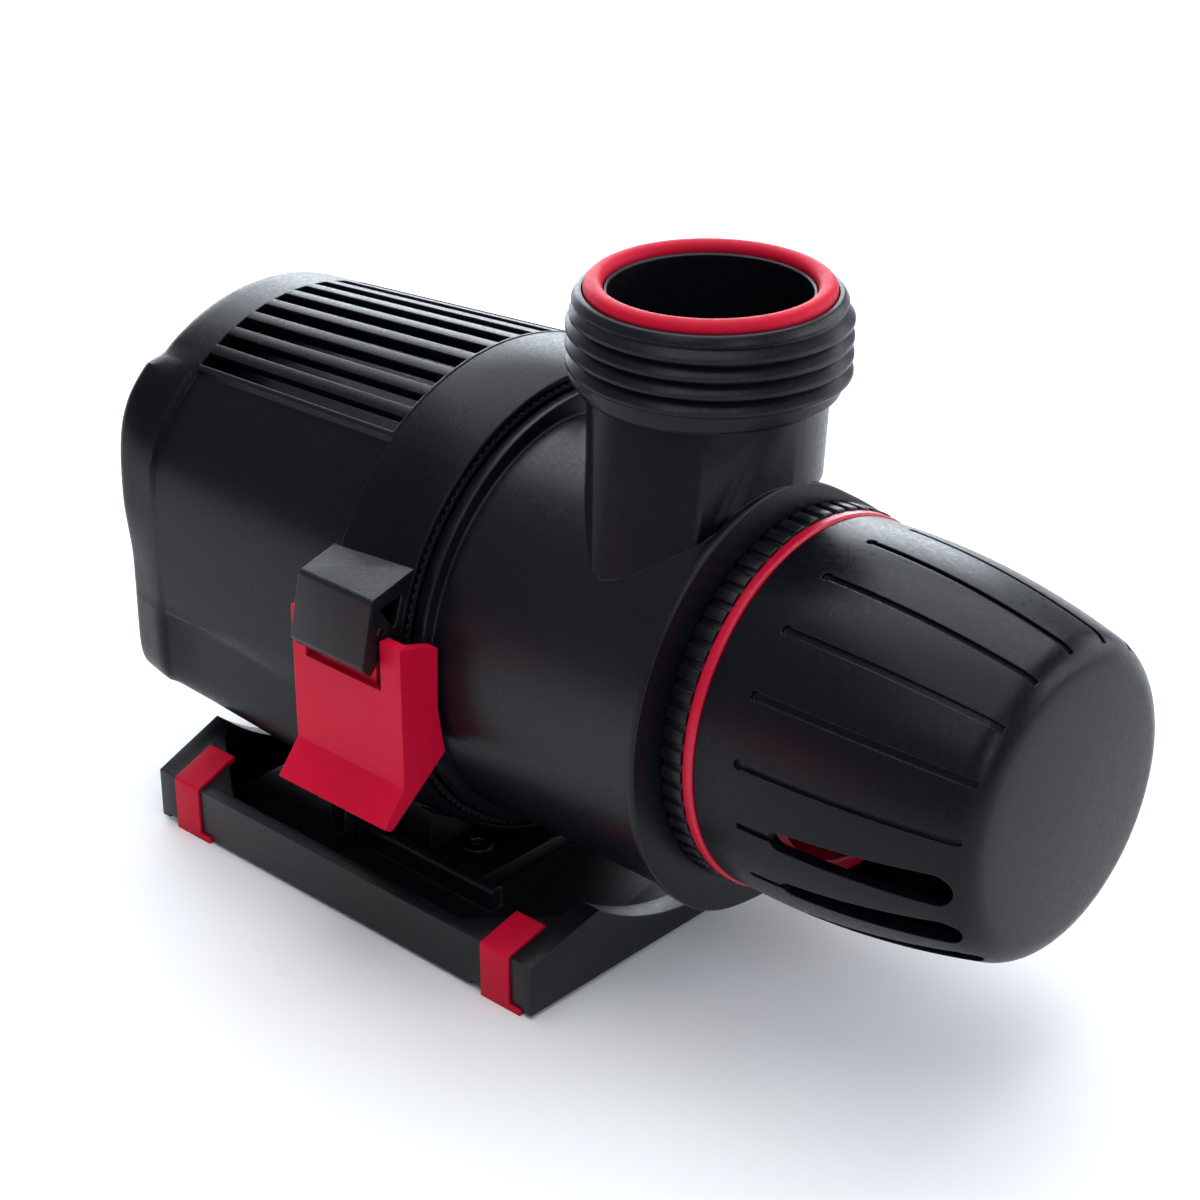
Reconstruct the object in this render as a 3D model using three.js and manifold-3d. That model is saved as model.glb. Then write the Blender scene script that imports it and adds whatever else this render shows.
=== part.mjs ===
// Wet-rotor centrifugal pump for ponds and aquariums, as an assembly of separate pieces.
//
// Millimetres, +Z up. The pump's axis runs along X: the motor is at -X and the intake strainer at
// +X. The threaded outlet points up. Inside this file X is measured from the outlet's axis, and the
// pieces of the pump itself are drawn around the pump's axis; the last lines move the whole model so
// that its origin is under the middle of its bounding box, on the surface that the feet stand on.

import * as THREE from "three";
import { mergeVertices } from "three/addons/utils/BufferGeometryUtils.js";
import { ConvexGeometry } from "three/addons/geometries/ConvexGeometry.js";
import Module from "manifold-3d";

const wasm = await Module();
wasm.setup();

// ---------------------------------------------------------------- driving dimensions

const axisHeight = 52.2; // pump axis above the ground
const gap = 0.3; // air between pieces that touch
const runningFit = 0.1; // air round a shaft or a pin that turns
const round = 36; // sides of a large round piece
const fewSides = 16; // sides of a small one

// Base tray
const baseRear = -96.5;
const baseFront = 2.5;
const baseHalfWidth = 46.5;
const baseUnderside = 0.8;
const baseSideTop = 10.6; // height of the upright side
const ridgeHalfWidth = 30; // where the sloping deck meets the saddle
const ridgeRearTop = 17.2;
const ridgeFrontTop = 14.2;
const saddleRadius = 47.9;
const deckFloor = 4;
const footOffset = 41.2; // each foot from the middle of the base, along X
const strapWidth = 6.8;

// Motor shroud
const shroudRear = -116;
const panelRear = -104;
const collarRear = -47.4;
const collarFront = -30.4;
const shroudRearRadius = 41;
const collarRearRadius = 45.8;
const collarFrontRadius = 44.4;
const sideRear = 36.9; // half width over the side panels, at the rear
const sideFront = 41.4; // and at the collar
const shroudFloor = 31; // the flat underside beside the panels, below the pump axis
const shroudWall = 2.4;
const panelInset = 1.2;
const bandFlare = 2.7; // how far the rear band's upper corners stand out
const slotCount = 11;
const slotPitch = 6.95; // degrees
const slotWidth = 3.1;
const slotRear = -102.8;
const slotFront = -47.7;

// Stator and rotor
const canRadius = 33;
const canRear = -108;
const coreRear = -93;
const coreFront = -53;
const coreRadius = 31;
const toothCount = 6;
const toothWidth = 6;
const wellRadius = 17;
const magnetRadius = 14.8;
const magnetRear = -94.1;
const magnetFront = -50;
const shaftRadius = 2.5;
const impellerRadius = 26.5;
const bladeCount = 6;

// Volute and outlet
const voluteRear = -30;
const flangeRear = 18.2;
const flangeFront = 20;
const flangeProud = 1.1; // how far the front flange stands out of the casing
const ringRadius = 41.8; // rear ring, which the latches hook over
const voluteWall = 2.6;
const chamberFront = 17.4;
const plugRadius = 31.2; // the rotor cover, where it enters the volute
const throatRadius = 13.6;
const outletTop = 67.4; // rim above the pump axis
const outletBore = 17;
const neckRadius = 20.3; // under the collar
const neckFootRadius = 18.9; // where the neck meets the casing
const neckFoot = 38; // height of that place above the pump axis
const collarRadius = 22.2; // plain collar under the thread
const threadRootRadius = 22.3;
const threadCrestRadius = 23.9; // half of the 47.8 mm major diameter of a G 1 1/2 thread
const threadPitch = 3;
const threadTurns = 4;
const oRingRadius = 19.3;
const oRingTube = 1.66;

// Intake
const gripRingRadius = 33.8;
const gripToothCount = 60;
const gripToothDepth = 1;
const redRingRadius = 33.4;
const redRingRear = 24.4;
const redRingFront = 26.4;
const spigotRadius = 27;
const spigotFront = 36.8;
const cageRear = 26.7;
const cageRadius = 33;
const cageEndRadius = 28.1;
const cageBulge = 6.24;
const cageCornerStart = 71.9;
const cageTip = 77.2;
const cageWall = 2.1;
const cageSlotStep = 20; // degrees between strainer slots

// Latches, drawn on the -Y side in Y and Z from the pump axis
const pinY = -47.9;
const pinZ = 11.5;
const pinRadius = 0.8;
const bracketRear = -48.5;
const bracketFront = -30.4;
const leverRear = -52.3;
const leverFront = -25;

// ---------------------------------------------------------------- materials

function material(color, roughness, metalness = 0) {
  return new THREE.MeshStandardMaterial({ color, roughness, metalness });
}

const charcoal = () => material(0x1d1e24, 0.5);
const redPlastic = () => material(0xae1936, 0.45);
const redRubber = () => material(0xa8172f, 0.7);
const blackRubber = () => material(0x141416, 0.85);
const steel = () => material(0xb4b6b8, 0.3, 1);
const ceramic = () => material(0xe9e6df, 0.35);

// ---------------------------------------------------------------- solids

// A closed geometry as a solid that can be joined and cut.
function solid(geometry) {
  const bare = geometry.clone();
  bare.deleteAttribute("normal");
  bare.deleteAttribute("uv");
  const merged = mergeVertices(bare, 1e-4);
  const made = new wasm.Manifold(
    new wasm.Mesh({
      numProp: 3,
      vertProperties: new Float32Array(merged.attributes.position.array),
      triVerts: new Uint32Array(merged.index.array),
    }),
  );
  return made;
}

// A solid back as a geometry.
function geometryOf(body) {
  const mesh = body.getMesh();
  const geometry = new THREE.BufferGeometry();
  geometry.setAttribute("position", new THREE.BufferAttribute(new Float32Array(mesh.vertProperties), 3));
  geometry.setIndex(new THREE.BufferAttribute(new Uint32Array(mesh.triVerts), 1));
  geometry.computeVertexNormals();
  return geometry;
}

const joined = (...bodies) => bodies.reduce((sum, body) => sum.add(body));
const cut = (body, ...tools) => tools.reduce((rest, tool) => rest.subtract(tool), body);
const degrees = THREE.MathUtils.degToRad;
const between = THREE.MathUtils.lerp;

// A box from its lowest to its highest corner.
function block(low, high) {
  const size = low.map((value, i) => high[i] - value);
  const middle = low.map((value, i) => (value + high[i]) / 2);
  return solid(new THREE.BoxGeometry(...size).translate(...middle));
}

// A solid of revolution from an outline of [place along the axis, radius] pairs.
function turned(outline, axis = "x", sides = round) {
  let area = 0;
  outline.forEach(([along, radius], i) => {
    const [nextAlong, nextRadius] = outline[(i + 1) % outline.length];
    area += radius * nextAlong - nextRadius * along;
  });
  const ordered = area > 0 ? outline : [...outline].reverse();
  const points = ordered.map(([along, radius]) => new THREE.Vector2(radius, along));
  points.push(points[0].clone());
  const geometry = new THREE.LatheGeometry(points, sides);
  return solid(axis === "z" ? geometry.rotateX(Math.PI / 2) : geometry.rotateZ(-Math.PI / 2));
}

// A plain round bar along an axis.
function bar(from, to, radius, axis = "x", sides = fewSides) {
  return turned([[from, 0], [from, radius], [to, radius], [to, 0]], axis, sides);
}

// A tube along an axis.
function tube(from, to, inner, outer, axis = "x", sides = fewSides) {
  return turned([[from, inner], [from, outer], [to, outer], [to, inner]], axis, sides);
}

const alongX = new THREE.Matrix4().makeBasis(
  new THREE.Vector3(0, 1, 0),
  new THREE.Vector3(0, 0, 1),
  new THREE.Vector3(1, 0, 0),
);
const alongY = new THREE.Matrix4().makeBasis(
  new THREE.Vector3(1, 0, 0),
  new THREE.Vector3(0, 0, 1),
  new THREE.Vector3(0, -1, 0),
);

const outlineShape = (points) => new THREE.Shape(points.map(([a, b]) => new THREE.Vector2(a, b)));

function extruded(shape, depth) {
  return new THREE.ExtrudeGeometry(shape, { depth, bevelEnabled: false, curveSegments: 6 });
}

// An outline of [y, z] pairs, extruded along X between two places.
function plateX(points, from, to) {
  return solid(extruded(outlineShape(points), to - from).applyMatrix4(alongX).translate(from, 0, 0));
}

// An outline of [x, z] pairs, extruded along Y between two places.
function plateY(points, from, to) {
  return solid(extruded(outlineShape(points), to - from).applyMatrix4(alongY).translate(0, to, 0));
}

// An outline of [x, y] pairs, extruded up between two heights.
function plateZ(points, from, to) {
  return solid(extruded(outlineShape(points), to - from).translate(0, 0, from));
}

// A skin through sections of equally many points, closed by a fan at each end.
function lofted(sections) {
  const count = sections[0].length;
  const places = sections.flat();
  const faces = [];
  for (let s = 0; s + 1 < sections.length; s += 1) {
    for (let i = 0; i < count; i += 1) {
      const next = (i + 1) % count;
      const [a, b, c, d] = [s * count + i, s * count + next, (s + 1) * count + i, (s + 1) * count + next];
      faces.push(a, c, b, b, c, d);
    }
  }
  const last = (sections.length - 1) * count;
  for (const [start, flip] of [[0, false], [last, true]]) {
    const hub = new THREE.Vector3();
    for (let i = 0; i < count; i += 1) hub.addScaledVector(places[start + i], 1 / count);
    places.push(hub);
    for (let i = 0; i < count; i += 1) {
      const pair = [start + i, start + ((i + 1) % count)];
      if (flip) pair.reverse();
      faces.push(places.length - 1, ...pair);
    }
  }
  const geometry = new THREE.BufferGeometry().setFromPoints(places);
  geometry.setIndex(faces);
  return solid(geometry);
}

// The same tool turned round the pump's axis to each of several angles, in degrees.
function around(tool, angles) {
  return angles.map((angle) => tool.rotate([angle, 0, 0]));
}

const steps = (count, step, first = 0) => Array.from({ length: count }, (_, i) => first + i * step);

// ---------------------------------------------------------------- assembly

const whole = new THREE.Group();
const base = new THREE.Group();
const pump = new THREE.Group();
pump.position.z = axisHeight;
whole.add(base, pump);

function place(parent, name, body, finish) {
  const mesh = new THREE.Mesh(body.isBufferGeometry ? body : geometryOf(body), finish);
  mesh.name = name;
  parent.add(mesh);
  return mesh;
}

// ---------------------------------------------------------------- base

const baseMiddle = (baseRear + baseFront) / 2;

// Height of the deck's ridge, and the deck's slope, at a place along X.
function ridgeTop(x) {
  return between(ridgeRearTop, ridgeFrontTop, (x - baseRear) / (baseFront - baseRear));
}

function deckSlope(x) {
  return (ridgeTop(x) - baseSideTop) / (baseHalfWidth - ridgeHalfWidth);
}

const strapProud = 0.4;
const strapThickness = 1.3;
const strapEnd = 37.4; // the strap's upper end, from the middle of the base
const padEnd = 32;
const padHalfLength = 6;
const padThickness = 1.2;

// The strap's outline in Y and Z, or the notch that holds it when grown by the gap.
function strapOutline(slope) {
  const outer = -baseHalfWidth - strapProud;
  const inner = outer + strapThickness;
  const top = baseSideTop + strapProud - slope * strapProud;
  const rise = (y) => top + slope * (y - outer);
  return [
    [outer, 0],
    [outer, top],
    [-strapEnd, rise(-strapEnd)],
    [-strapEnd, rise(-strapEnd) - strapThickness],
    [inner, rise(inner) - strapThickness],
    [inner, 0],
  ];
}

function strapNotch(slope) {
  const outer = -baseHalfWidth - strapProud;
  const inner = outer + strapThickness + gap;
  const top = baseSideTop + strapProud - slope * strapProud - strapThickness - gap;
  const rise = (y) => top + slope * (y - outer);
  const clear = 20;
  return [
    [outer - clear, -clear],
    [inner, -clear],
    [inner, rise(inner)],
    [-strapEnd + gap, rise(-strapEnd + gap)],
    [-strapEnd + gap, rise(-strapEnd) + clear],
    [outer - clear, rise(-strapEnd) + clear],
  ];
}

function footSolid(slope) {
  const pad = block(
    [-padHalfLength, -baseHalfWidth - strapProud, 0],
    [padHalfLength, -padEnd, padThickness],
  );
  return joined(plateX(strapOutline(slope), -strapWidth / 2, strapWidth / 2), pad);
}

const feet = [
  ["foot_rear_left", -footOffset, false],
  ["foot_rear_right", -footOffset, true],
  ["foot_front_left", footOffset, false],
  ["foot_front_right", footOffset, true],
];

const cradleScrews = [
  [-66, -22],
  [-66, 22],
  [-35, -22],
  [-35, 22],
];

function baseTray() {
  const section = (x) => {
    const outline = [
      [-baseHalfWidth, baseUnderside],
      [-baseHalfWidth, baseSideTop],
      [-ridgeHalfWidth, ridgeTop(x)],
      [ridgeHalfWidth, ridgeTop(x)],
      [baseHalfWidth, baseSideTop],
      [baseHalfWidth, baseUnderside],
    ];
    return outline.map(([y, z]) => new THREE.Vector3(x, y, z));
  };
  const endWall = 4.5;
  const sideWall = 2.3;
  const cornerLength = 19; // the solid triangle of deck beside each foot
  const cornerHalfWidth = 34;
  const pocket = [];
  for (const [x, y] of [[baseRear, 1], [baseFront, -1]]) {
    const inward = x === baseRear ? 1 : -1;
    pocket.push([x + inward * endWall, y * cornerHalfWidth]);
    pocket.push([x + inward * endWall, -y * cornerHalfWidth]);
    pocket.push([x + inward * cornerLength, -y * (baseHalfWidth - sideWall)]);
    pocket.push([-x + 2 * baseMiddle - inward * cornerLength, -y * (baseHalfWidth - sideWall)]);
  }
  const railHalfWidth = 1.5;
  const railTop = 8.5;
  const rail = [[-57, -30], [-22, -30]];
  const railSolid = (side) =>
    block(
      [rail[0][0], side * rail[0][1] - railHalfWidth, deckFloor - 1],
      [rail[1][0], side * rail[1][1] + railHalfWidth, railTop],
    );
  let tray = lofted([section(baseRear), section(baseFront)]);
  tray = cut(
    tray,
    bar(baseRear - 1, baseFront + 1, saddleRadius, "x", 2 * round).translate([0, 0, axisHeight]),
    plateZ(pocket, deckFloor, axisHeight),
  );
  tray = joined(tray, railSolid(1), railSolid(-1));
  for (const [, offset, turnedRound] of feet) {
    const notch = joined(
      plateX(strapNotch(deckSlope(baseMiddle + offset)), -strapWidth / 2 - gap, strapWidth / 2 + gap),
      block(
        [-padHalfLength - gap, -2 * baseHalfWidth, -1],
        [padHalfLength + gap, -padEnd + gap, padThickness + gap],
      ),
    );
    const turn = turnedRound ? 180 : 0;
    tray = cut(tray, notch.rotate([0, 0, turn]).translate([baseMiddle + offset, 0, 0]));
  }
  for (const [x, y] of cradleScrews) {
    tray = cut(tray, bar(1.5, deckFloor + 1, 1.7, "z").translate([x, y, 0]));
  }
  return tray;
}

// The saddle block under the collar, with a plate for its screws at each end and a wing beside it.
function cradle() {
  const bottom = deckFloor + gap;
  const plateTop = 7;
  const blockTop = 15;
  const blockHalfWidth = 27;
  const wing = [
    [-85.5, bottom],
    [-85.5, bottom + 0.6],
    [-72, 16.5],
    [-60, 19],
    [-58.5, 19],
    [-58.5, bottom],
  ];
  const wingOuter = 36.5;
  const wingInner = 33.5;
  let body = joined(
    block([-60, -blockHalfWidth, bottom], [-42, blockHalfWidth, blockTop]),
    block([-72, -wingOuter, bottom], [-58.5, wingOuter, plateTop]),
    block([-42.5, -blockHalfWidth, bottom], [-28, blockHalfWidth, plateTop]),
    plateY(wing, -wingOuter, -wingInner),
    plateY(wing, wingInner, wingOuter),
  );
  body = cut(body, bar(-90, 0, collarRearRadius + gap, "x", 2 * round).translate([0, 0, axisHeight]));
  for (const [x, y] of cradleScrews) {
    body = cut(body, bar(bottom - 1, plateTop + 1, 1.8, "z").translate([x, y, 0]));
  }
  return body;
}

function screw(headRadius, headHeight, shankRadius, shankLength) {
  const socket = headRadius * 0.45;
  return turned(
    [
      [-shankLength, 0],
      [-shankLength, shankRadius],
      [0, shankRadius],
      [0, headRadius],
      [headHeight * 0.6, headRadius],
      [headHeight, headRadius * 0.7],
      [headHeight, socket],
      [headHeight * 0.4, socket],
      [headHeight * 0.4, 0],
    ],
    "z",
    12,
  );
}

function addBase() {
  place(base, "base_tray", baseTray(), charcoal());
  place(base, "cradle", cradle(), charcoal());
  for (const [name, offset, turnedRound] of feet) {
    const foot = place(base, name, footSolid(deckSlope(baseMiddle + offset)), redRubber());
    foot.position.x = baseMiddle + offset;
    foot.rotation.z = turnedRound ? Math.PI : 0;
  }
  const headSeat = 7 + gap;
  cradleScrews.forEach(([x, y], i) => {
    const fastener = place(base, `cradle_screw_${i + 1}`, screw(3, 1.8, 1.4, 5.4), steel());
    fastener.position.set(x, y, headSeat);
  });
}

// ---------------------------------------------------------------- motor, dry side

// The section's angles are counted from the top. The side panel runs from panelTop down to a foot
// that climbs towards the collar.
const panelTop = 38;
const panelFootRear = 110.5;
const panelFootFront = 103.5;
const edgeWidth = 1.2;

// How far the rear band stands out at an angle: its upper corners flare towards the rear.
function flareAt(x, angle) {
  const along = THREE.MathUtils.clamp((panelRear - x) / 8, 0, 1);
  const rise = THREE.MathUtils.smoothstep(angle, 36, 43);
  const fall = 1 - THREE.MathUtils.smoothstep(angle, 52, 68);
  return bandFlare * along * rise * fall;
}

// The shroud's section at a place along X, made smaller all round by inset. The rear band has no
// panel, so its sides aren't set in.
function shroudSection(x, inset, onBand = false) {
  const t = (x - shroudRear) / (collarRear - shroudRear);
  const roof = between(shroudRearRadius, collarRearRadius, t);
  const side = between(sideRear, sideFront, t);
  const foot = between(panelFootRear, panelFootFront, t);
  const depth = onBand ? 0 : panelInset;
  const radiusAt = (angle) => {
    const limit = angle > foot ? side - depth : side;
    const reach = angle > panelTop ? roof - depth : roof;
    const sideways = Math.sin(degrees(angle));
    const beside = sideways > 0.1 ? limit / sideways : reach;
    const radius = Math.min(reach + (onBand ? flareAt(x, angle) : 0), beside);
    if (angle <= foot) return radius - inset;
    const below = -shroudFloor / Math.cos(degrees(angle));
    const corner = (limit ** -12 * sideways ** 12 + below ** -12) ** (-1 / 12);
    return Math.max(reach, corner) - inset;
  };
  const upper = [0, 7, 14, 21, 28, 34, panelTop, panelTop + edgeWidth, 43, 47, 52, 57, 62, 68, 74, 80, 86];
  const lower = [92, 98, foot, foot + edgeWidth, 116, 121, 126, 130, 134, 138, 143, 150, 158, 165, 172];
  const half = [...upper, ...lower].slice(1);
  const all = [0, ...half, 180, ...half.map((angle) => -angle).reverse()];
  return all.map((angle) => {
    const radius = radiusAt(Math.abs(angle));
    return new THREE.Vector3(x, radius * Math.sin(degrees(angle)), radius * Math.cos(degrees(angle)));
  });
}

function motorHousing() {
  const rearWall = 3;
  const outside = joined(
    lofted([
      shroudSection(shroudRear, 3, true),
      shroudSection(shroudRear + 0.9, 1, true),
      shroudSection(shroudRear + 3, 0, true),
      shroudSection(panelRear, 0, true),
      shroudSection(panelRear + 0.4, 0),
      shroudSection(collarRear, 0),
    ]),
    turned([
      [collarRear, 30],
      [collarRear, collarRearRadius],
      [collarFront - 1, collarFrontRadius + 0.1],
      [collarFront, collarFrontRadius - 0.6],
      [collarFront, 30],
    ]),
  );
  const inside = lofted([
    shroudSection(shroudRear + rearWall, shroudWall),
    shroudSection(collarRear - gap, shroudWall),
  ]);
  const slot = block([slotRear, -slotWidth / 2, canRadius], [slotFront, slotWidth / 2, 60]);
  const firstSlot = (-slotPitch * (slotCount - 1)) / 2;
  return cut(
    outside,
    inside,
    bar(collarRear - 1, collarFront + 1, 41.2, "x", round),
    bar(collarFront - 1.3, collarFront + 1, 43.4, "x", round),
    bar(shroudRear - 1, shroudRear + rearWall + 1, 31, "x", round),
    ...around(slot, steps(slotCount, slotPitch, firstSlot)),
  );
}

const rearScrewCircle = 26;
const rearScrewAngles = [45, 135, 225, 315];
const glandDrop = -12; // the cord inlet's height from the pump axis
const glandRear = -122;
const coverRear = shroudRear + 0.3;
const coverFront = shroudRear + 2.6;

function rearCover() {
  const hole = bar(coverRear - 2, coverFront + 2, 1.6).translate([0, 0, rearScrewCircle]);
  const headSink = bar(coverRear - 2, coverRear + 0.8, 3.4).translate([0, 0, rearScrewCircle]);
  return cut(
    turned([
      [coverRear - 0.5, 0],
      [coverRear - 0.5, 22],
      [coverRear, 30.6],
      [coverFront, 30.6],
      [coverFront, 0],
    ]),
    ...around(joined(hole, headSink), rearScrewAngles),
    bar(coverRear - 2, coverFront + 2, 5.3).translate([0, 0, glandDrop]),
  );
}

// A flanged cord inlet with an open bore.
function cableGland() {
  const bore = 3.6;
  return turned(
    [
      [coverFront + 1.4, bore],
      [coverFront + 1.4, 5],
      [coverRear - 0.8, 5],
      [coverRear - 0.8, 7.4],
      [coverRear - 2.4, 7.4],
      [coverRear - 3, 6.2],
      [glandRear + 0.6, 5.2],
      [glandRear, 4.6],
      [glandRear, bore],
    ],
    "x",
    fewSides,
  ).translate([0, 0, glandDrop]);
}

const canFlangeRear = -36;
const canFlangeFront = -34.2;
const canWall = 1.6;

function statorCan() {
  const post = cut(bar(canRear + 0.5, coverFront + gap, 3.2), bar(canRear - 0.6, coverFront - 1, 1.6));
  const postLow = post.translate([0, 0, rearScrewCircle]);
  return joined(
    turned([
      [canRear, 0],
      [canRear, canRadius],
      [canFlangeRear, canRadius],
      [canFlangeRear, 40.9],
      [canFlangeFront, 40.9],
      [canFlangeFront, canRadius - canWall],
      [canRear + 2, canRadius - canWall],
      [canRear + 2, 0],
    ]),
    ...around(postLow, rearScrewAngles),
  );
}

function statorCore() {
  const tooth = block([coreRear, -toothWidth / 2, wellRadius + 0.7], [coreFront, toothWidth / 2, 27]);
  return joined(
    tube(coreRear, coreFront, 26, coreRadius, "x", round),
    ...around(tooth, steps(toothCount, 60)),
  );
}

// A winding: a rectangular ring round one tooth, with its corners cut off.
function coil() {
  const hole = { along: (coreFront - coreRear) / 2 + gap, across: toothWidth / 2 + gap };
  const along = hole.along + 3.2;
  const across = hole.across + 2.1;
  const corner = 1.6;
  const [low, high] = [19.6, 25.2];
  const outline = [
    [-along, -across + corner],
    [-along + corner, -across],
    [along - corner, -across],
    [along, -across + corner],
    [along, across - corner],
    [along - corner, across],
    [-along + corner, across],
    [-along, across - corner],
  ];
  const tooth = block([-hole.along, -hole.across, low - 1], [hole.along, hole.across, high + 1]);
  return cut(plateZ(outline, low, high), tooth);
}

function addMotor() {
  place(pump, "motor_housing", motorHousing(), charcoal());
  place(pump, "rear_cover", rearCover(), charcoal());
  place(pump, "cable_gland", cableGland(), blackRubber());
  rearScrewAngles.forEach((angle, i) => {
    const fastener = place(pump, `rear_cover_screw_${i + 1}`, screw(2.6, 1.4, 1.2, 4.2), steel());
    const turn = degrees(angle);
    fastener.position.set(
      coverRear + 0.8 - gap,
      -rearScrewCircle * Math.sin(turn),
      rearScrewCircle * Math.cos(turn),
    );
    fastener.rotation.y = -Math.PI / 2;
  });
  place(pump, "stator_can", statorCan(), material(0x26272c, 0.6));
  place(pump, "stator_core", statorCore(), material(0x6d7075, 0.45, 1));
  for (let i = 0; i < toothCount; i += 1) {
    const winding = place(pump, `coil_${i + 1}`, coil(), material(0xb0672f, 0.4, 1));
    winding.rotation.x = degrees(i * 60);
    winding.position.x = (coreRear + coreFront) / 2;
  }
}

// ---------------------------------------------------------------- motor, wet side

const wellFlangeRear = -33.9;
const wellFlangeFront = -32.4;
const wellRear = -103.5;
const wellFloor = -101.5;
const seatFront = -96.4;
const hatFlangeRear = -32.1;
const hatFlangeFront = -30.6;
const hatRear = -16.5;
const hatFront = -14.8;

function rotorWell() {
  const wall = 1;
  const socket = [8.5, 10];
  return turned([
    [wellRear, 0],
    [wellRear, wellRadius],
    [wellFlangeRear, wellRadius],
    [wellFlangeRear, 40.9],
    [wellFlangeFront, 40.9],
    [wellFlangeFront, wellRadius - wall],
    [wellFloor, wellRadius - wall],
    [wellFloor, socket[1]],
    [seatFront, socket[1]],
    [seatFront, socket[0]],
    [wellFloor, socket[0]],
    [wellFloor, 0],
  ]);
}

// The plug that closes the rotor's chamber and leaves only room for the impeller's sleeve.
function rotorCover() {
  const outer = plugRadius;
  const wall = 1.5;
  return turned([
    [hatFlangeRear, outer - wall],
    [hatFlangeRear, 40.9],
    [hatFlangeFront, 40.9],
    [hatFlangeFront, outer],
    [hatFront, outer],
    [hatFront, 7.5],
    [hatRear, 7.5],
    [hatRear, outer - wall],
  ]);
}

// A backswept blade as a curved plate on the impeller's disc.
function bladeOutline() {
  const inner = 8;
  const sweep = 70;
  const half = 0.9;
  const stations = 7;
  const edge = (side) =>
    steps(stations, 1 / (stations - 1)).map((t) => {
      const radius = between(inner, impellerRadius - 0.3, t);
      const angle = degrees(sweep * t) + (side * half) / radius;
      return [radius * Math.sin(angle), radius * Math.cos(angle)];
    });
  return [...edge(-1), ...edge(1).reverse()];
}

const bladeRear = -12;
const bladeFront = 7;

function impeller() {
  const bore = shaftRadius + gap;
  const sleeveRadius = 4;
  const body = turned(
    [
      [magnetRear, bore],
      [magnetRear, sleeveRadius],
      [-19, sleeveRadius],
      [-18, 6.2],
      [-14, 6.2],
      [-13.8, impellerRadius],
      [-11.6, impellerRadius],
      [-11.6, 10],
      [-6, 6.4],
      [8, 5.2],
      [8, bore],
    ],
    "x",
    round,
  );
  const blade = plateX(bladeOutline(), bladeRear, bladeFront);
  return cut(
    joined(body, ...around(blade, steps(bladeCount, 360 / bladeCount))),
    bar(magnetRear - 1, 10, bore),
  );
}

function addRotor() {
  place(pump, "rotor_well", rotorWell(), charcoal());
  place(pump, "rear_bearing_seat", tube(wellFloor + gap, seatFront + 0.2, 5.3, 8.2), blackRubber());
  const rearBearing = tube(wellFloor + 1.3, seatFront + 0.2, shaftRadius + runningFit, 5);
  place(pump, "rear_bearing", rearBearing, ceramic());
  const washer = tube(seatFront + 0.5, magnetRear - gap, shaftRadius + gap, 6);
  place(pump, "thrust_washer", washer, ceramic());
  const magnet = tube(magnetRear, magnetFront, 4.3, magnetRadius, "x", round);
  place(pump, "rotor_magnet", magnet, material(0x2a2a2e, 0.4, 0.6));
  place(pump, "shaft", bar(wellFloor + 0.5, 26, shaftRadius), ceramic());
  place(pump, "impeller", impeller(), material(0x24252b, 0.45));
  place(pump, "rotor_cover", rotorCover(), charcoal());
}

// ---------------------------------------------------------------- pump head

// The outlet: bore, thread, plain collar and neck, about Z.
function outletOutline() {
  const outline = [
    [26, outletBore - 2],
    [26, neckFootRadius],
    [neckFoot, neckFootRadius],
    [outletTop - 16.6, neckRadius],
    [outletTop - 16.6, collarRadius - 0.5],
    [outletTop - 16.2, collarRadius],
    [outletTop - 13.4, collarRadius],
  ];
  for (let turn = threadTurns - 1; turn >= 0; turn -= 1) {
    const crest = outletTop - 3.2 - threadPitch * turn;
    outline.push([crest - 1.2, threadRootRadius]);
    outline.push([crest - 0.3, threadCrestRadius]);
    outline.push([crest + 0.3, threadCrestRadius]);
    outline.push([crest + 1.2, threadRootRadius]);
  }
  outline.push([outletTop - 0.5, threadRootRadius - 0.2]);
  outline.push([outletTop, threadRootRadius - 0.5]);
  outline.push([outletTop, outletBore - 2]);
  return outline;
}

// Radius of the front flange at an angle from +Y. The casing is a spiral: it is tightest at the
// tongue, on the far side of the outlet, and has its full radius on the near side.
const tongueAngle = 60;
const spiral = [
  [60, 34.2],
  [73, 35.6],
  [85, 38.1],
  [103, 40.3],
  [240, 40.5],
  [260, 38.3],
  [300, 37.2],
  [360, 35.6],
  [420, 34.2],
];

function casingReach(angle) {
  const turn = tongueAngle + THREE.MathUtils.euclideanModulo(angle - tongueAngle, 360);
  const next = spiral.findIndex(([at]) => at > turn);
  const [[from, low], [to, high]] = [spiral[next - 1], spiral[next]];
  return between(low, high, (turn - from) / (to - from));
}

function casingSection(x, inset) {
  return steps(round, -360 / round).map((angle) => {
    const radius = casingReach(angle) - inset;
    return new THREE.Vector3(x, radius * Math.cos(degrees(angle)), radius * Math.sin(degrees(angle)));
  });
}

// The blend that carries the neck's wall down onto the casing. Each pair is a place along X and an
// angle round the pump's axis, counted from +Y, on the casing's surface.
function chute() {
  const contact = [
    [-18, 111],
    [-12.5, 122],
    [-5, 133],
    [3, 139],
    [11, 131],
    [16.5, 121],
    [19.3, 105],
  ];
  const points = [];
  for (const [x, angle] of contact) {
    const radius = casingReach(angle) - flangeProud - 0.2;
    points.push(new THREE.Vector3(x, radius * Math.cos(degrees(angle)), radius * Math.sin(degrees(angle))));
  }
  for (const [height, radius] of [[outletTop - 22, neckRadius - 0.7], [neckFoot - 2, neckFootRadius - 0.05]]) {
    for (const angle of steps(fewSides, 360 / fewSides)) {
      points.push(new THREE.Vector3(radius * Math.cos(degrees(angle)), radius * Math.sin(degrees(angle)), height));
    }
  }
  return solid(new ConvexGeometry(points));
}

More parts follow.
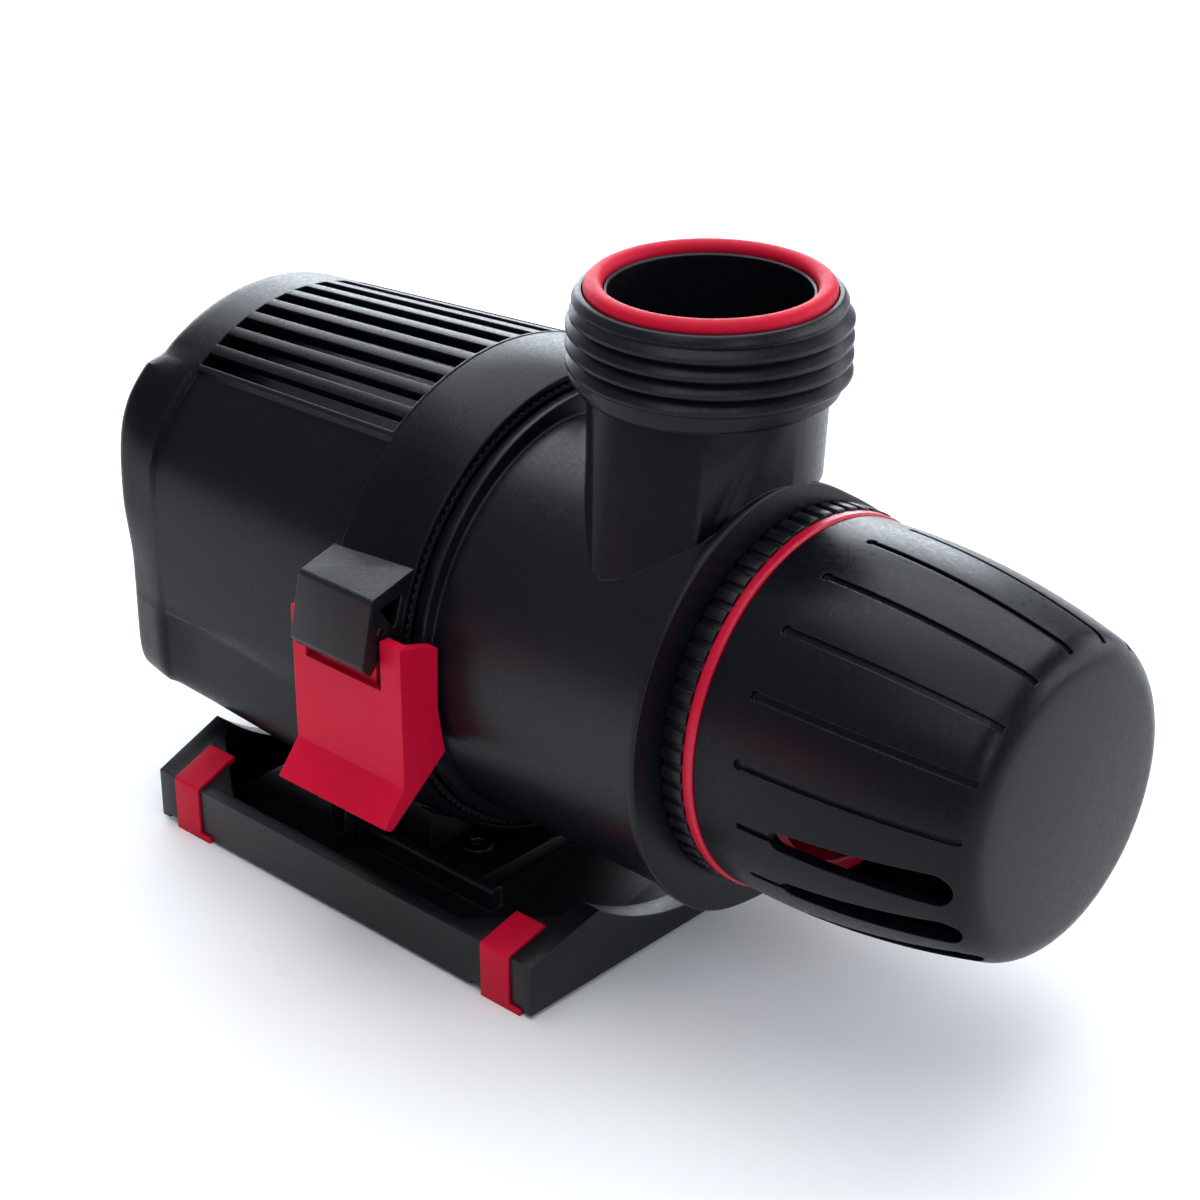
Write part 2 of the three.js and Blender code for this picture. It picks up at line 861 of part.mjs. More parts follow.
function voluteHousing() {
  const ringFront = voluteRear + 2.4;
  const sleeveRear = 9;
  const sleeveRadius = throatRadius + 2;
  const outside = joined(
    bar(voluteRear, ringFront, ringRadius, "x", round),
    lofted([
      casingSection(ringFront - 0.5, flangeProud + 0.1),
      casingSection(flangeRear - 0.6, flangeProud),
      casingSection(flangeRear, 0.3),
      casingSection(flangeRear + 0.4, 0),
      casingSection(flangeFront - 0.6, 0),
      casingSection(flangeFront, 0.6),
    ]),
    turned(outletOutline(), "z"),
    chute(),
  );
  const chamber = lofted([
    casingSection(hatFront + gap, flangeProud + voluteWall),
    casingSection(chamberFront, flangeProud + voluteWall),
  ]);
  const groove = new THREE.TorusGeometry(oRingRadius, oRingTube + gap, 8, round);
  const shell = cut(
    outside,
    bar(voluteRear - 1, hatFront + gap + 0.1, plugRadius + gap, "x", round),
    chamber,
    bar(20, outletTop + 1, outletBore, "z", round),
    solid(groove.translate(0, 0, outletTop + 0.2)),
  );
  return cut(
    joined(shell, bar(sleeveRear, chamberFront + 1, sleeveRadius, "x", round)),
    bar(sleeveRear - 1, flangeFront + 1, throatRadius, "x", round),
  );
}

function gripRing() {
  const toothStep = 360 / gripToothCount;
  const root = gripRingRadius - gripToothDepth;
  const points = [];
  for (const angle of steps(gripToothCount, toothStep)) {
    const at = (share, radius) => {
      const turn = degrees(angle + share * toothStep);
      return [radius * Math.cos(turn), radius * Math.sin(turn)];
    };
    points.push(at(0, root), at(0.04, gripRingRadius));
    points.push(at(0.56, gripRingRadius), at(0.6, root));
  }
  const rear = flangeFront + gap;
  const front = redRingRear - gap;
  return cut(plateX(points, rear, front), bar(rear - 1, front + 1, spigotRadius + 1, "x", round));
}

// The red piece: a ring, and the spigot that the strainer pushes onto.
function intakeNozzle() {
  return turned([
    [flangeFront + gap, spigotRadius - 2.8],
    [flangeFront + gap, spigotRadius + 0.6],
    [redRingRear, spigotRadius + 0.6],
    [redRingRear, redRingRadius],
    [redRingFront, redRingRadius],
    [redRingFront, spigotRadius],
    [spigotFront, spigotRadius],
    [spigotFront, spigotRadius - 2.8],
  ]);
}

// The holder of the front bearing: a cup on three arms, in a ring that sits in the throat.
function bearingSpider() {
  const ringRear = 16;
  const ringFront = 22;
  const cup = turned(
    [
      [18.3, 7.4],
      [18.3, 8.6],
      [27.5, 8.6],
      [29.4, 5],
      [29.4, 0],
      [27, 0],
      [27, 7.4],
    ],
    "x",
    fewSides,
  );
  const outer = throatRadius - gap;
  const arm = block([19.5, -1.1, 8.2], [ringFront, 1.1, outer - 0.6]);
  return joined(
    tube(ringRear, ringFront, outer - 1.2, outer, "x", round),
    cup,
    ...around(arm, [0, 120, 240]),
  );
}

// Outer radius of the strainer's barrel between its open end and its rounded corner.
function barrelRadius(x) {
  const start = 30;
  const t = Math.max(0, (x - start) / (cageCornerStart - start));
  return between(cageRadius, cageEndRadius, t) + cageBulge * t * (1 - t);
}

function strainerCage() {
  const cornerRadius = 6;
  const slope = Math.atan((cageEndRadius - cageRadius - cageBulge) / (cageCornerStart - 30));
  const startAngle = Math.PI / 2 + slope;
  const endAngle = degrees(4);
  const centre = [
    cageCornerStart - cornerRadius * Math.cos(startAngle),
    cageEndRadius - cornerRadius * Math.sin(startAngle),
  ];
  const corner = (radius) =>
    steps(4, 1 / 3).map((t) => {
      const angle = between(startAngle, endAngle, t);
      return [centre[0] + radius * Math.cos(angle), centre[1] + radius * Math.sin(angle)];
    });
  const stations = [cageRear, 33, 44, 58];
  const outer = [...stations.map((x) => [x, barrelRadius(x)]), ...corner(cornerRadius), [cageTip, 0]];
  const inner = [
    [cageTip - cageWall, 0],
    ...corner(cornerRadius - cageWall).reverse(),
    ...stations.slice(1).reverse().map((x) => [x, barrelRadius(x) - cageWall]),
    [cageRear + 2.6, cageRadius - cageWall],
    [cageRear + 2.6, spigotRadius + gap],
    [cageRear, spigotRadius + gap],
  ];
  const slotHalfWidth = 2.6;
  const slot = block([42, -slotHalfWidth, 20], [73.4, slotHalfWidth, 40]);
  const openAngles = steps(9, cageSlotStep, 100);
  return cut(turned([...outer, ...inner]), ...around(slot, openAngles));
}

function addHead() {
  const seal = tube(collarFront - 1, collarFront + 0.2, ringRadius + 0.2, 43.1, "x", round);
  place(pump, "head_seal", seal, blackRubber());
  place(pump, "volute_housing", voluteHousing(), charcoal());
  const oRing = new THREE.TorusGeometry(oRingRadius, oRingTube, 8, round);
  place(pump, "outlet_o_ring", oRing, redRubber()).position.z = outletTop + 0.2;
  place(pump, "grip_ring", gripRing(), charcoal());
  place(pump, "intake_nozzle", intakeNozzle(), redPlastic());
  place(pump, "bearing_spider", bearingSpider(), charcoal());
  place(pump, "front_bearing_seat", tube(18.6, 24.9, 4.9, 7.1), blackRubber());
  place(pump, "front_bearing", tube(19, 24.5, shaftRadius + runningFit, 4.6), ceramic());
  place(pump, "strainer_cage", strainerCage(), charcoal());
}

// ---------------------------------------------------------------- latches

// The folded bracket on the collar: a roof, a front plate and two cheeks.
function latchBracket() {
  const outside = [
    [-38, 20.9],
    [-49.7, 17.8],
    [-52.4, 6],
    [-50.6, 3.9],
    [-46, 8.6],
    [-38, 8.6],
  ];
  const inside = [
    [-36, 19.2],
    [-49.2, 16.3],
    [-51.3, 5.6],
    [-50.2, 1],
    [-36, 1],
  ];
  const cheek = 1.6;
  const window = [
    [-47.9, 15.6],
    [-44.6, 10.9],
    [-42.7, 16.8],
  ];
  return cut(
    plateX(outside, bracketRear, bracketFront),
    plateX(inside, bracketRear + cheek, bracketFront - cheek),
    plateX(window, bracketFront - cheek - 1, bracketFront + 1),
    turned([
      [bracketRear - 1, 0],
      [bracketRear - 1, collarRearRadius + gap],
      [collarRear, collarRearRadius + gap],
      [collarFront + 1, collarFrontRadius + gap],
      [collarFront + 1, 0],
    ], "x", 2 * round),
    bar(bracketRear - 1, bracketFront + 1, pinRadius + runningFit, "x", 12).translate([0, pinY, pinZ]),
  );
}

// The red lever: a knuckle and tongue inside the bracket, a face plate below it with an arm up each
// side, a flange that hooks in front of the volute's rear ring, and a flared foot for the finger.
function latchLever() {
  const face = -48.7;
  const back = -46.6;
  const tongueRear = bracketRear + 2;
  const tongueFront = bracketFront - 2;
  const crease = -16.4;
  const flare = [
    [face, crease],
    [-53.7, -22.5],
    [-51.9, -23.6],
    [back, crease - 0.8],
    [back, -14],
    [face, -14],
  ];
  const flange = [
    [face, 10.4],
    [-39.9, 7.6],
    [-40.3, -4.1],
    [-38.9, -13.1],
    [-51.4, -23.4],
    [-53.7, -22.5],
    [face, crease],
  ];
  const knuckle = bar(tongueRear, tongueFront, 1.9, "x", 16).translate([0, pinY, pinZ]);
  const body = joined(
    knuckle,
    block([tongueRear, -47.4, -3], [tongueFront, -46.2, pinZ]),
    block([leverRear, face, -15], [leverFront, back, 0.8]),
    block([leverRear, face, 0], [bracketRear - 0.5, back, 9.7]),
    block([bracketFront + 0.5, face, 0], [leverFront, back, 10.4]),
    block([leverRear, face, -16], [leverRear + 1.8, -43.6, 9.7]),
    plateX(flare, leverRear, leverFront),
    plateX(flange, leverFront - 2.2, leverFront),
  );
  return cut(body, bar(-60, -20, pinRadius + runningFit, "x", 12).translate([0, pinY, pinZ]));
}

function addLatches() {
  for (const [side, mirror] of [["left", 1], ["right", -1]]) {
    const latch = new THREE.Group();
    latch.scale.y = mirror;
    pump.add(latch);
    place(latch, `latch_bracket_${side}`, latchBracket(), charcoal());
    const pin = bar(bracketRear - 0.2, bracketFront + 0.2, pinRadius, "x", 12).translate([0, pinY, pinZ]);
    place(latch, `latch_pin_${side}`, pin, steel());
    place(latch, `latch_lever_${side}`, latchLever(), redPlastic());
  }
}

addBase();
addMotor();
addRotor();
addHead();
addLatches();

whole.position.x = -(glandRear + cageTip) / 2;

export default whole;
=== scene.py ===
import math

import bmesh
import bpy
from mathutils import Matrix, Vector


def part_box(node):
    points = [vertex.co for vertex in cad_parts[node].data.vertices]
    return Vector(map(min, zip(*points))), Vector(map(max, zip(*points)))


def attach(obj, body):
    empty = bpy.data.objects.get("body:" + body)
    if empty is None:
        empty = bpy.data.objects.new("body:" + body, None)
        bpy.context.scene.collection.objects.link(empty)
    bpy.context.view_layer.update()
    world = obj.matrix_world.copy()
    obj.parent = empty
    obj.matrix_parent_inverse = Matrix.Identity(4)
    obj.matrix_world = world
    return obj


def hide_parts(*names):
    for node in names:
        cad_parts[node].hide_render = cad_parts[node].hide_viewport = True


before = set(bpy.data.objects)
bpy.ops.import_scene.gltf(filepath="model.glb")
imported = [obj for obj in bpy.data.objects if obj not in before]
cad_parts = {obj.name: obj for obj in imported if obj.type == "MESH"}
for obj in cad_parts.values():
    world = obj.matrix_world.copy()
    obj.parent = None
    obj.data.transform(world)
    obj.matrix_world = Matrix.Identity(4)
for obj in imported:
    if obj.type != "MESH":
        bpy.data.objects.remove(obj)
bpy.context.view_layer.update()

# A wet-rotor centrifugal pump for ponds and aquariums, drawn in detail around its CAD frame.
#
# Shapes are drawn in millimetres in the pump's own axes: X from the outlet's axis towards the
# strainer, Y across, Z up from the pump's axis. dress() moves them into the frame, in metres.

scene = bpy.context.scene
MM = 0.001


def middle(node):
    low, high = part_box(node)
    return (low + high) / 2


OUTLET_X = middle("outlet_o_ring").x
AXIS_Z = middle("shaft").z
ORIGIN = Vector((OUTLET_X, 0, AXIS_Z))  # where the pump's own axes meet, in the frame
GROUND = -AXIS_Z / MM  # the ground's height in the pump's axes


def in_pump_axes(place):
    return (place - ORIGIN) / MM


# ---------------------------------------------------------------- driving dimensions, millimetres

SIDES = 160  # sides of a large round piece
FINE_SIDES = 240  # sides of a round cutter that leaves a visible seat
GAP = 0.3
SLIP = 0.02  # keeps two faces of one piece from lying in one plane before they are united

BASE_REAR, BASE_FRONT = -96.5, 2.5
BASE_MIDDLE = (BASE_REAR + BASE_FRONT) / 2
BASE_HALF_WIDTH = 46.5
BASE_UNDERSIDE = 0.8
BASE_SIDE_TOP = 10.6
RIDGE_HALF_WIDTH = 30
RIDGE_REAR_TOP, RIDGE_FRONT_TOP = 17.2, 14.2
SADDLE_RADIUS = 47.9
DECK_FLOOR = 4
RAIL_HALF_WIDTH, RAIL_TOP, RAIL_REAR, RAIL_FRONT = 1.5, 8.5, -57, -22
POCKET_END_WALL, POCKET_SIDE_WALL = 4.5, 2.3
POCKET_CORNER, POCKET_END_HALF_WIDTH = 19, 34

FOOT_OFFSET = 41.2
STRAP_WIDTH, STRAP_PROUD, STRAP_THICKNESS, STRAP_END = 6.8, 0.4, 1.3, 37.4
PAD_END, PAD_HALF_LENGTH, PAD_THICKNESS = 32, 6, 1.2

CRADLE_PLATE_TOP = 7
CRADLE_HALF_WIDTH, WING_HALF_WIDTH, WING_THICKNESS = 27, 36.6, 3.2
CRADLE_SCREWS = [(-66, -22), (-66, 22), (-35, -22), (-35, 22)]

COVER_SCREWS = [f"rear_cover_screw_{i + 1}" for i in range(4)]

# A foot's name, its place along the base and its turn about Z.
FEET = [
    ("foot_rear_left", -FOOT_OFFSET, 0),
    ("foot_rear_right", -FOOT_OFFSET, 180),
    ("foot_front_left", FOOT_OFFSET, 0),
    ("foot_front_right", FOOT_OFFSET, 180),
]

SHROUD_REAR, PANEL_REAR, COLLAR_REAR, COLLAR_FRONT = -116, -104, -47.4, -30.4
SHROUD_REAR_RADIUS, COLLAR_REAR_RADIUS, COLLAR_FRONT_RADIUS = 41, 45.8, 44.4
SIDE_REAR, SIDE_FRONT = 36.9, 41.4
SHROUD_FLOOR = 31  # the flat underside beside the panels
SHROUD_WALL = 2.4
PANEL_INSET = 1.2
FOOT_INSET = 0.8  # step along the side panel's foot
BAND_FLARE = 1.9  # how far the rear band's upper corners stand out
REAR_TAPER = 1.3  # how much the sides draw in below the rear band's middle
PANEL_TOP = 38  # degrees from the top
PANEL_FOOT, PANEL_FOOT_REAR, PANEL_FOOT_FRONT = 107, 110.5, 103.5
SLOT_COUNT, SLOT_PITCH, SLOT_WIDTH = 11, 6.95, 3.1
SLOT_REAR, SLOT_FRONT = -102.8, -47.9

VOLUTE_REAR, FLANGE_REAR, FLANGE_FRONT = -30, 18.3, 20
FLANGE_RADIUS, RING_RADIUS = 40.4, 41.8
FLANGE_PROUD, VOLUTE_WALL = 1.1, 2.6
CASING_RADIUS = FLANGE_RADIUS - FLANGE_PROUD
PLUG_RADIUS, CHAMBER_REAR, CHAMBER_FRONT, THROAT = 31.2, -14.5, 17.4, 13.6
# The front flange's radius at angles from +Y. It is tightest at the tongue and full on the near side.
SPIRAL = [
    (60, 34.2), (73, 35.6), (85, 38.1), (103, 40.3), (240, 40.5),
    (260, 38.3), (300, 37.2), (360, 35.6), (420, 34.2),
]
# Where the outlet's blend ends on the casing, as (x, degrees from +Y).
BLEND_EDGE = [
    (-19.6, 99), (-17.6, 105), (-13.6, 113), (-7.9, 123.5), (-2.4, 133), (1, 138), (3.4, 139), (6.5, 137),
    (12, 130), (16.6, 121), (18.6, 112),
]
OUTLET_TOP = 67.4
OUTLET_BORE, NECK_RADIUS, COLLAR_RADIUS = 17, 20.3, 22.2
NECK_FOOT_RADIUS, NECK_FOOT = 18.9, 36
# The blend's foot leans a little to the near side, so that its front ends flush with the flange.
BLEND_FOOT_RADIUS, BLEND_FOOT_X, BLEND_FOOT_Y = 19.85, 0.1, -0.55
THREAD_ROOT, THREAD_CREST, THREAD_PITCH, THREAD_TURNS = 22.1, 23.9, 3, 4
O_RING_RADIUS, O_RING_TUBE = 19.3, 1.66

SEAL_RADIUS, SEAL_DEPTH, SEAL_TEETH, SEAL_BORE = 43.1, 0.5, 150, 42
GRIP_RADIUS, GRIP_DEPTH, GRIP_TEETH = 33.8, 0.7, 60
RED_RING_REAR, RED_RING_FRONT, RED_RING_RADIUS = 24.4, 26.4, 33.4
SPIGOT_RADIUS, SPIGOT_FRONT, SPIGOT_WALL = 27, 36.8, 2.8
CAGE_REAR, CAGE_RADIUS, CAGE_END_RADIUS = 26.7, 33, 28.1
CAGE_BULGE, CAGE_CORNER_START, CAGE_CORNER, CAGE_TIP, CAGE_WALL = 6.24, 71.9, 6.2, 77.2, 2.1
CAGE_BARREL_START, CAGE_SKIRT = 30, 2.6
RIB_COUNT, RIB_STEP, FIRST_GROOVE, FIRST_SLOT = 9, 20, -79.4, 100  # grooves above, open slots below
GROOVE_START, GROOVE_END, GROOVE_LEAD_END = 35.5, 75, 44
GROOVE_HALF_WIDTH, GROOVE_DEPTH, DIMPLE_RADIUS = 0.62, 0.8, 0.9
SLOT_START, SLOT_START_HALF_WIDTH, SLOT_END, SLOT_END_HALF_WIDTH = 43.8, 1.9, 70.8, 3.1

PIN_Y, PIN_Z, PIN_RADIUS = -47.9, 11.5, 0.8
BRACKET_REAR, BRACKET_FRONT = -48.5, -30.4
CHEEK = 1.6  # the bracket's wall
LEVER_REAR, LEVER_FRONT = -52.3, -25
LEVER_FACE, LEVER_BACK, LEVER_CREASE = -48.7, -46.6, -16.4

LENS, SENSOR = 82.56, 36
CAMERA_TURN, CAMERA_DROP = 43.05, 26.48  # degrees
CAMERA_PLACE = Vector((0.2770, -0.32297, 0.22223))  # from the pump's axes, in metres


# ---------------------------------------------------------------- materials


class Nodes:
    """A material's node tree, with short calls to add nodes and to link them."""

    def __init__(self, name):
        self.material = bpy.data.materials.new(name)
        self.material.use_nodes = True
        self.tree = self.material.node_tree
        self.shader = self.tree.nodes["Principled BSDF"]

    def add(self, kind, settings=None, **inputs):
        node = self.tree.nodes.new("ShaderNode" + kind)
        for key, value in (settings or {}).items():
            setattr(node, key, value)
        for key, value in inputs.items():
            self.put(node, key.replace("_", " "), value)
        return node

    def put(self, node, socket, value):
        target = node.inputs[int(socket)] if socket.isdigit() else node.inputs[socket]
        if isinstance(value, bpy.types.NodeSocket):
            self.tree.links.new(value, target)
        else:
            target.default_value = value

    def noise(self, scale, detail=2.0, roughness=0.5):
        place = self.add("TexCoord").outputs["Object"]
        node = self.add("TexNoise", Vector=place, Scale=scale, Detail=detail, Roughness=roughness)
        return node.outputs["Fac"]

    def spread(self, value, low, high, to_low, to_high):
        node = self.add("MapRange", Value=value)
        for key, number in zip(("From Min", "From Max", "To Min", "To Max"), (low, high, to_low, to_high)):
            node.inputs[key].default_value = number
        return node.outputs["Result"]

    def mix(self, share, first, second):
        node = self.add("Mix", {"data_type": "RGBA"})
        self.put(node, "0", share)
        self.put(node, "6", first)
        self.put(node, "7", second)
        return node.outputs[2]

    def math(self, operation, first, second):
        node = self.add("Math", {"operation": operation})
        self.put(node, "0", first)
        self.put(node, "1", second)
        return node.outputs[0]

    def edges(self, radius):
        """A share that is 1 on sharp edges, and the rounded normal."""
        bevel = self.add("Bevel", {"samples": 4}, Radius=radius)
        true_normal = self.add("NewGeometry").outputs["Normal"]
        dot = self.add("VectorMath", {"operation": "DOT_PRODUCT"})
        self.put(dot, "0", bevel.outputs["Normal"])
        self.put(dot, "1", true_normal)
        return self.spread(dot.outputs["Value"], 0.99, 0.8, 0, 1), bevel.outputs["Normal"]


def moulded(name, dark, light, worn_and_highlight, rough, grain, depth, edge=0.00035, speck=0.0, specular=0.5):
    """Moulded plastic or rubber: patches of tone, a fine grain, and paler edges that are partly rubbed wear
    and partly a painted highlight.
    """
    n = Nodes(name)
    edge_mask, normal = n.edges(edge)
    patches = n.spread(n.noise(35, 3), 0.35, 0.65, 0, 1)
    fine = n.noise(grain, 2, 0.6)
    tone = n.mix(patches, (*dark, 1), (*light, 1))
    scuffs = n.spread(n.noise(260, 3), 0.4, 0.7, 0.25, 1)
    # Sharp edges take the third colour: partly rubbed wear, partly a painted highlight along every edge.
    tone = n.mix(n.math("MULTIPLY", n.math("MULTIPLY", edge_mask, scuffs), 0.7), tone, (*worn_and_highlight, 1))
    if speck:
        glints = n.spread(n.noise(grain * 1.4, 1), 0.62, 0.75, 0, speck)
        tone = n.mix(glints, tone, (*worn_and_highlight, 1))
    n.put(n.shader, "Base Color", tone)
    n.put(n.shader, "Roughness", n.spread(n.noise(grain * 0.5, 3), 0.3, 0.7, rough - 0.06, rough + 0.08))
    n.shader.inputs["Specular IOR Level"].default_value = specular
    broad = n.math("MULTIPLY", n.noise(900, 2), 0.35)
    height = n.math("ADD", fine, broad)
    bump = n.add("Bump", Height=height, Normal=normal, Distance=depth)
    n.put(n.shader, "Normal", bump.outputs["Normal"])
    return n.material


def metal(name, dark, light, rough, streak=400):
    """Brushed or turned metal."""
    n = Nodes(name)
    edge_mask, normal = n.edges(0.0002)
    place = n.add("TexCoord").outputs["Object"]
    stretched = n.add("Mapping", Vector=place)
    stretched.inputs["Scale"].default_value = (1, 12, 12)
    lines = n.add("TexNoise", Vector=stretched.outputs[0], Scale=streak, Detail=3.0).outputs["Fac"]
    tone = n.mix(lines, (*dark, 1), (*light, 1))
    n.put(n.shader, "Base Color", n.mix(n.math("MULTIPLY", edge_mask, 0.4), tone, (0.9, 0.9, 0.9, 1)))
    n.put(n.shader, "Roughness", n.spread(lines, 0.3, 0.7, rough - 0.06, rough + 0.1))
    n.shader.inputs["Metallic"].default_value = 1.0
    bump = n.add("Bump", Height=lines, Normal=normal, Distance=0.00001)
    n.put(n.shader, "Normal", bump.outputs["Normal"])
    return n.material


# The third colour of each moulded material goes on its sharp edges, as rubbed wear and as a painted
# highlight.
CHARCOAL = moulded(
    "charcoal_plastic", (0.0036, 0.0036, 0.0056), (0.0052, 0.0052, 0.0078), (0.05, 0.053, 0.062),
    0.36, 2600, 0.00003, specular=0.3,
)
SHROUD = moulded(
    "charcoal_shroud", (0.0022, 0.0020, 0.0042), (0.0034, 0.0031, 0.0060), (0.06, 0.063, 0.074),
    0.32, 2600, 0.00003, specular=0.11,
)
HEAD = moulded(
    "charcoal_head", (0.0026, 0.0028, 0.0052), (0.0040, 0.0043, 0.0072), (0.05, 0.054, 0.064),
    0.33, 2400, 0.000006, specular=0.24,
)
SATIN = moulded(
    "charcoal_satin", (0.0026, 0.0028, 0.0052), (0.0038, 0.0041, 0.0070), (0.035, 0.037, 0.046),
    0.31, 2200, 0.000006, specular=0.16,
)
RED = moulded(
    "red_plastic", (0.52, 0.003, 0.028), (0.6, 0.004, 0.036), (0.7, 0.05, 0.1), 0.42, 1700, 0.00005,
    speck=0.08, specular=0.1,
)
RED_GLOSS = moulded(
    "red_gloss_plastic", (0.5, 0.003, 0.028), (0.57, 0.004, 0.034), (0.75, 0.07, 0.13), 0.3, 2400, 0.00002,
    specular=0.35,
)
RED_RUBBER = moulded(
    "red_rubber", (0.46, 0.002, 0.022), (0.54, 0.003, 0.03), (0.62, 0.03, 0.07),
    0.5, 1500, 0.00001, specular=0.14,
)
BLACK_RUBBER = moulded(
    "black_rubber", (0.004, 0.004, 0.005), (0.007, 0.007, 0.008), (0.02, 0.02, 0.022), 0.55, 1500, 0.00004,
    specular=0.25,
)
CERAMIC = moulded(
    "ceramic", (0.74, 0.72, 0.67), (0.82, 0.8, 0.76), (0.86, 0.85, 0.82), 0.25, 900, 0.00001
)
IMPELLER = moulded(
    "impeller_plastic", (0.008, 0.008, 0.011), (0.012, 0.012, 0.016), (0.03, 0.03, 0.036), 0.32, 1400, 0.00002
)
STEEL = metal("stainless_steel", (0.42, 0.42, 0.43), (0.6, 0.6, 0.61), 0.28)
# A copy of the stainless steel painted much darker: painted shade for parts that sit in shadow.
SHADED_STEEL = metal("shaded_stainless_steel", (0.02, 0.02, 0.022), (0.035, 0.035, 0.038), 0.38)
CORE = metal("core_steel", (0.12, 0.12, 0.13), (0.2, 0.2, 0.21), 0.45, 900)
COPPER = metal("copper_wire", (0.45, 0.17, 0.06), (0.62, 0.27, 0.11), 0.35, 700)
FERRITE = metal("ferrite", (0.04, 0.04, 0.045), (0.08, 0.08, 0.085), 0.5, 500)

# ---------------------------------------------------------------- shapes

POLE = 1e-6  # a radius below this is a point on the axis


def rounded(points, steps=5):
    """A closed outline whose corners (a, b, radius) are turned into arcs. A corner (a, b) stays sharp."""
    outline = []
    for i, point in enumerate(points):
        here = Vector(point[:2])
        if len(point) < 3:
            outline.append(tuple(here))
            continue
        before = Vector(points[i - 1][:2]) - here
        after = Vector(points[(i + 1) % len(points)][:2]) - here
        half = before.angle(after) / 2
        reach = min(point[2] / math.tan(half), 0.49 * before.length, 0.49 * after.length)
        radius = reach * math.tan(half)
        centre = here + (before.normalized() + after.normalized()).normalized() * (radius / math.sin(half))
        start = here + before.normalized() * reach - centre
        end = here + after.normalized() * reach - centre
        turn = start.angle_signed(end)
        for k in range(steps + 1):
            spin = -turn * k / steps
            outline.append((
                centre.x + start.x * math.cos(spin) - start.y * math.sin(spin),
                centre.y + start.x * math.sin(spin) + start.y * math.cos(spin),
            ))
    return outline


def blank(name, bm):
    bmesh.ops.recalc_face_normals(bm, faces=bm.faces)
    mesh = bpy.data.meshes.new(name)
    bm.to_mesh(mesh)
    bm.free()
    made = bpy.data.objects.new(name, mesh)
    scene.collection.objects.link(made)
    return made


def bridge(bm, first, second):
    """Faces between two rings of corners. A ring of one corner is a pole."""
    count = max(len(first), len(second))
    if count == 1:
        return
    for i in range(count):
        j = (i + 1) % count
        if len(first) == 1:
            bm.faces.new((first[0], second[j], second[i]))
        elif len(second) == 1:
            bm.faces.new((first[i], first[j], second[0]))
        else:
            bm.faces.new((first[i], first[j], second[j], second[i]))


def turned(outline, axis="x", sides=SIDES):
    """A closed outline of (along, radius) pairs, turned round X or Z."""
    bm = bmesh.new()
    rings = []
    for along, radius in outline:
        ring = []
        for i in range(1 if radius < POLE else sides):
            angle = 2 * math.pi * i / sides
            across, up = radius * math.sin(angle), radius * math.cos(angle)
            ring.append(bm.verts.new((along, across, up) if axis == "x" else (up, across, along)))
        rings.append(ring)
    for first, second in zip(rings, rings[1:] + rings[:1]):
        bridge(bm, first, second)
    return blank("turned", bm)


def lofted(sections):
    """A closed shape through sections of equal length, capped at both ends."""
    bm = bmesh.new()
    rings = [[bm.verts.new(point) for point in section] for section in sections]
    bm.faces.new(rings[0])
    bm.faces.new(list(reversed(rings[-1])))
    for first, second in zip(rings, rings[1:]):
        bridge(bm, first, second)
    return blank("lofted", bm)


def prism(outline, low, high, plane="x"):
    """An outline pushed from low to high. Its points are (y, z) for plane x, (x, z) for y, (x, y) for z."""
    place = {
        "x": lambda a, b, d: (d, a, b),
        "y": lambda a, b, d: (a, d, b),
        "z": lambda a, b, d: (a, b, d),
    }[plane]
    return lofted([[place(a, b, d) for a, b in outline] for d in (low, high)])


def block(low, high):
    outline = [(low[0], low[1]), (high[0], low[1]), (high[0], high[1]), (low[0], high[1])]
    return prism(outline, low[2], high[2], "z")


def tube(start, end, inner, outer, edge=0.2, sides=SIDES):
    corners = [(start, inner, edge), (start, outer, edge), (end, outer, edge), (end, inner, edge)]
    return turned(rounded(corners, 2), "x", sides)


def rod(start, end, radius, edge=0.2, axis="x", sides=48):
    return turned(rounded([(start, 0), (start, radius, edge), (end, radius, edge), (end, 0)], 3), axis, sides)


def hull(points):
    bm = bmesh.new()
    for point in points:
        bm.verts.new(point)
    result = bmesh.ops.convex_hull(bm, input=bm.verts)
    inner = [v for v in result["geom_interior"] if isinstance(v, bmesh.types.BMVert)]
    bmesh.ops.delete(bm, geom=inner, context="VERTS")
    return blank("hull", bm)


def moved(obj, matrix):
    obj.data.transform(matrix)
    if matrix.is_negative:
        obj.data.flip_normals()
    return obj


def shifted(obj, x=0, y=0, z=0):
    return moved(obj, Matrix.Translation((x, y, z)))


def spun(obj, angle, axis="X"):
    return moved(obj, Matrix.Rotation(math.radians(angle), 4, axis))


def settle(obj):
    """Keeps the result of the object's modifiers as its mesh."""
    graph = bpy.context.evaluated_depsgraph_get()
    mesh = bpy.data.meshes.new_from_object(obj.evaluated_get(graph))
    obj.modifiers.clear()
    obj.data = mesh
    return obj


def boolean(obj, tools, operation):
    for tool in tools:
        step = obj.modifiers.new("step", "BOOLEAN")
        step.operation = operation
        step.object = tool
        step.solver = "EXACT"
    settle(obj)
    for tool in tools:
        bpy.data.objects.remove(tool)
    return obj


def fuse(obj, *tools):
    return boolean(obj, tools, "UNION")


def carve(obj, *tools):
    return boolean(obj, tools, "DIFFERENCE")


def joined(*objects):
    """Several closed shapes as one mesh, without uniting them."""
    bm = bmesh.new()
    for obj in objects:
        bm.from_mesh(obj.data)
        bpy.data.objects.remove(obj)
    mesh = bpy.data.meshes.new("joined")
    bm.to_mesh(mesh)
    bm.free()
    made = bpy.data.objects.new("joined", mesh)
    scene.collection.objects.link(made)
    return made


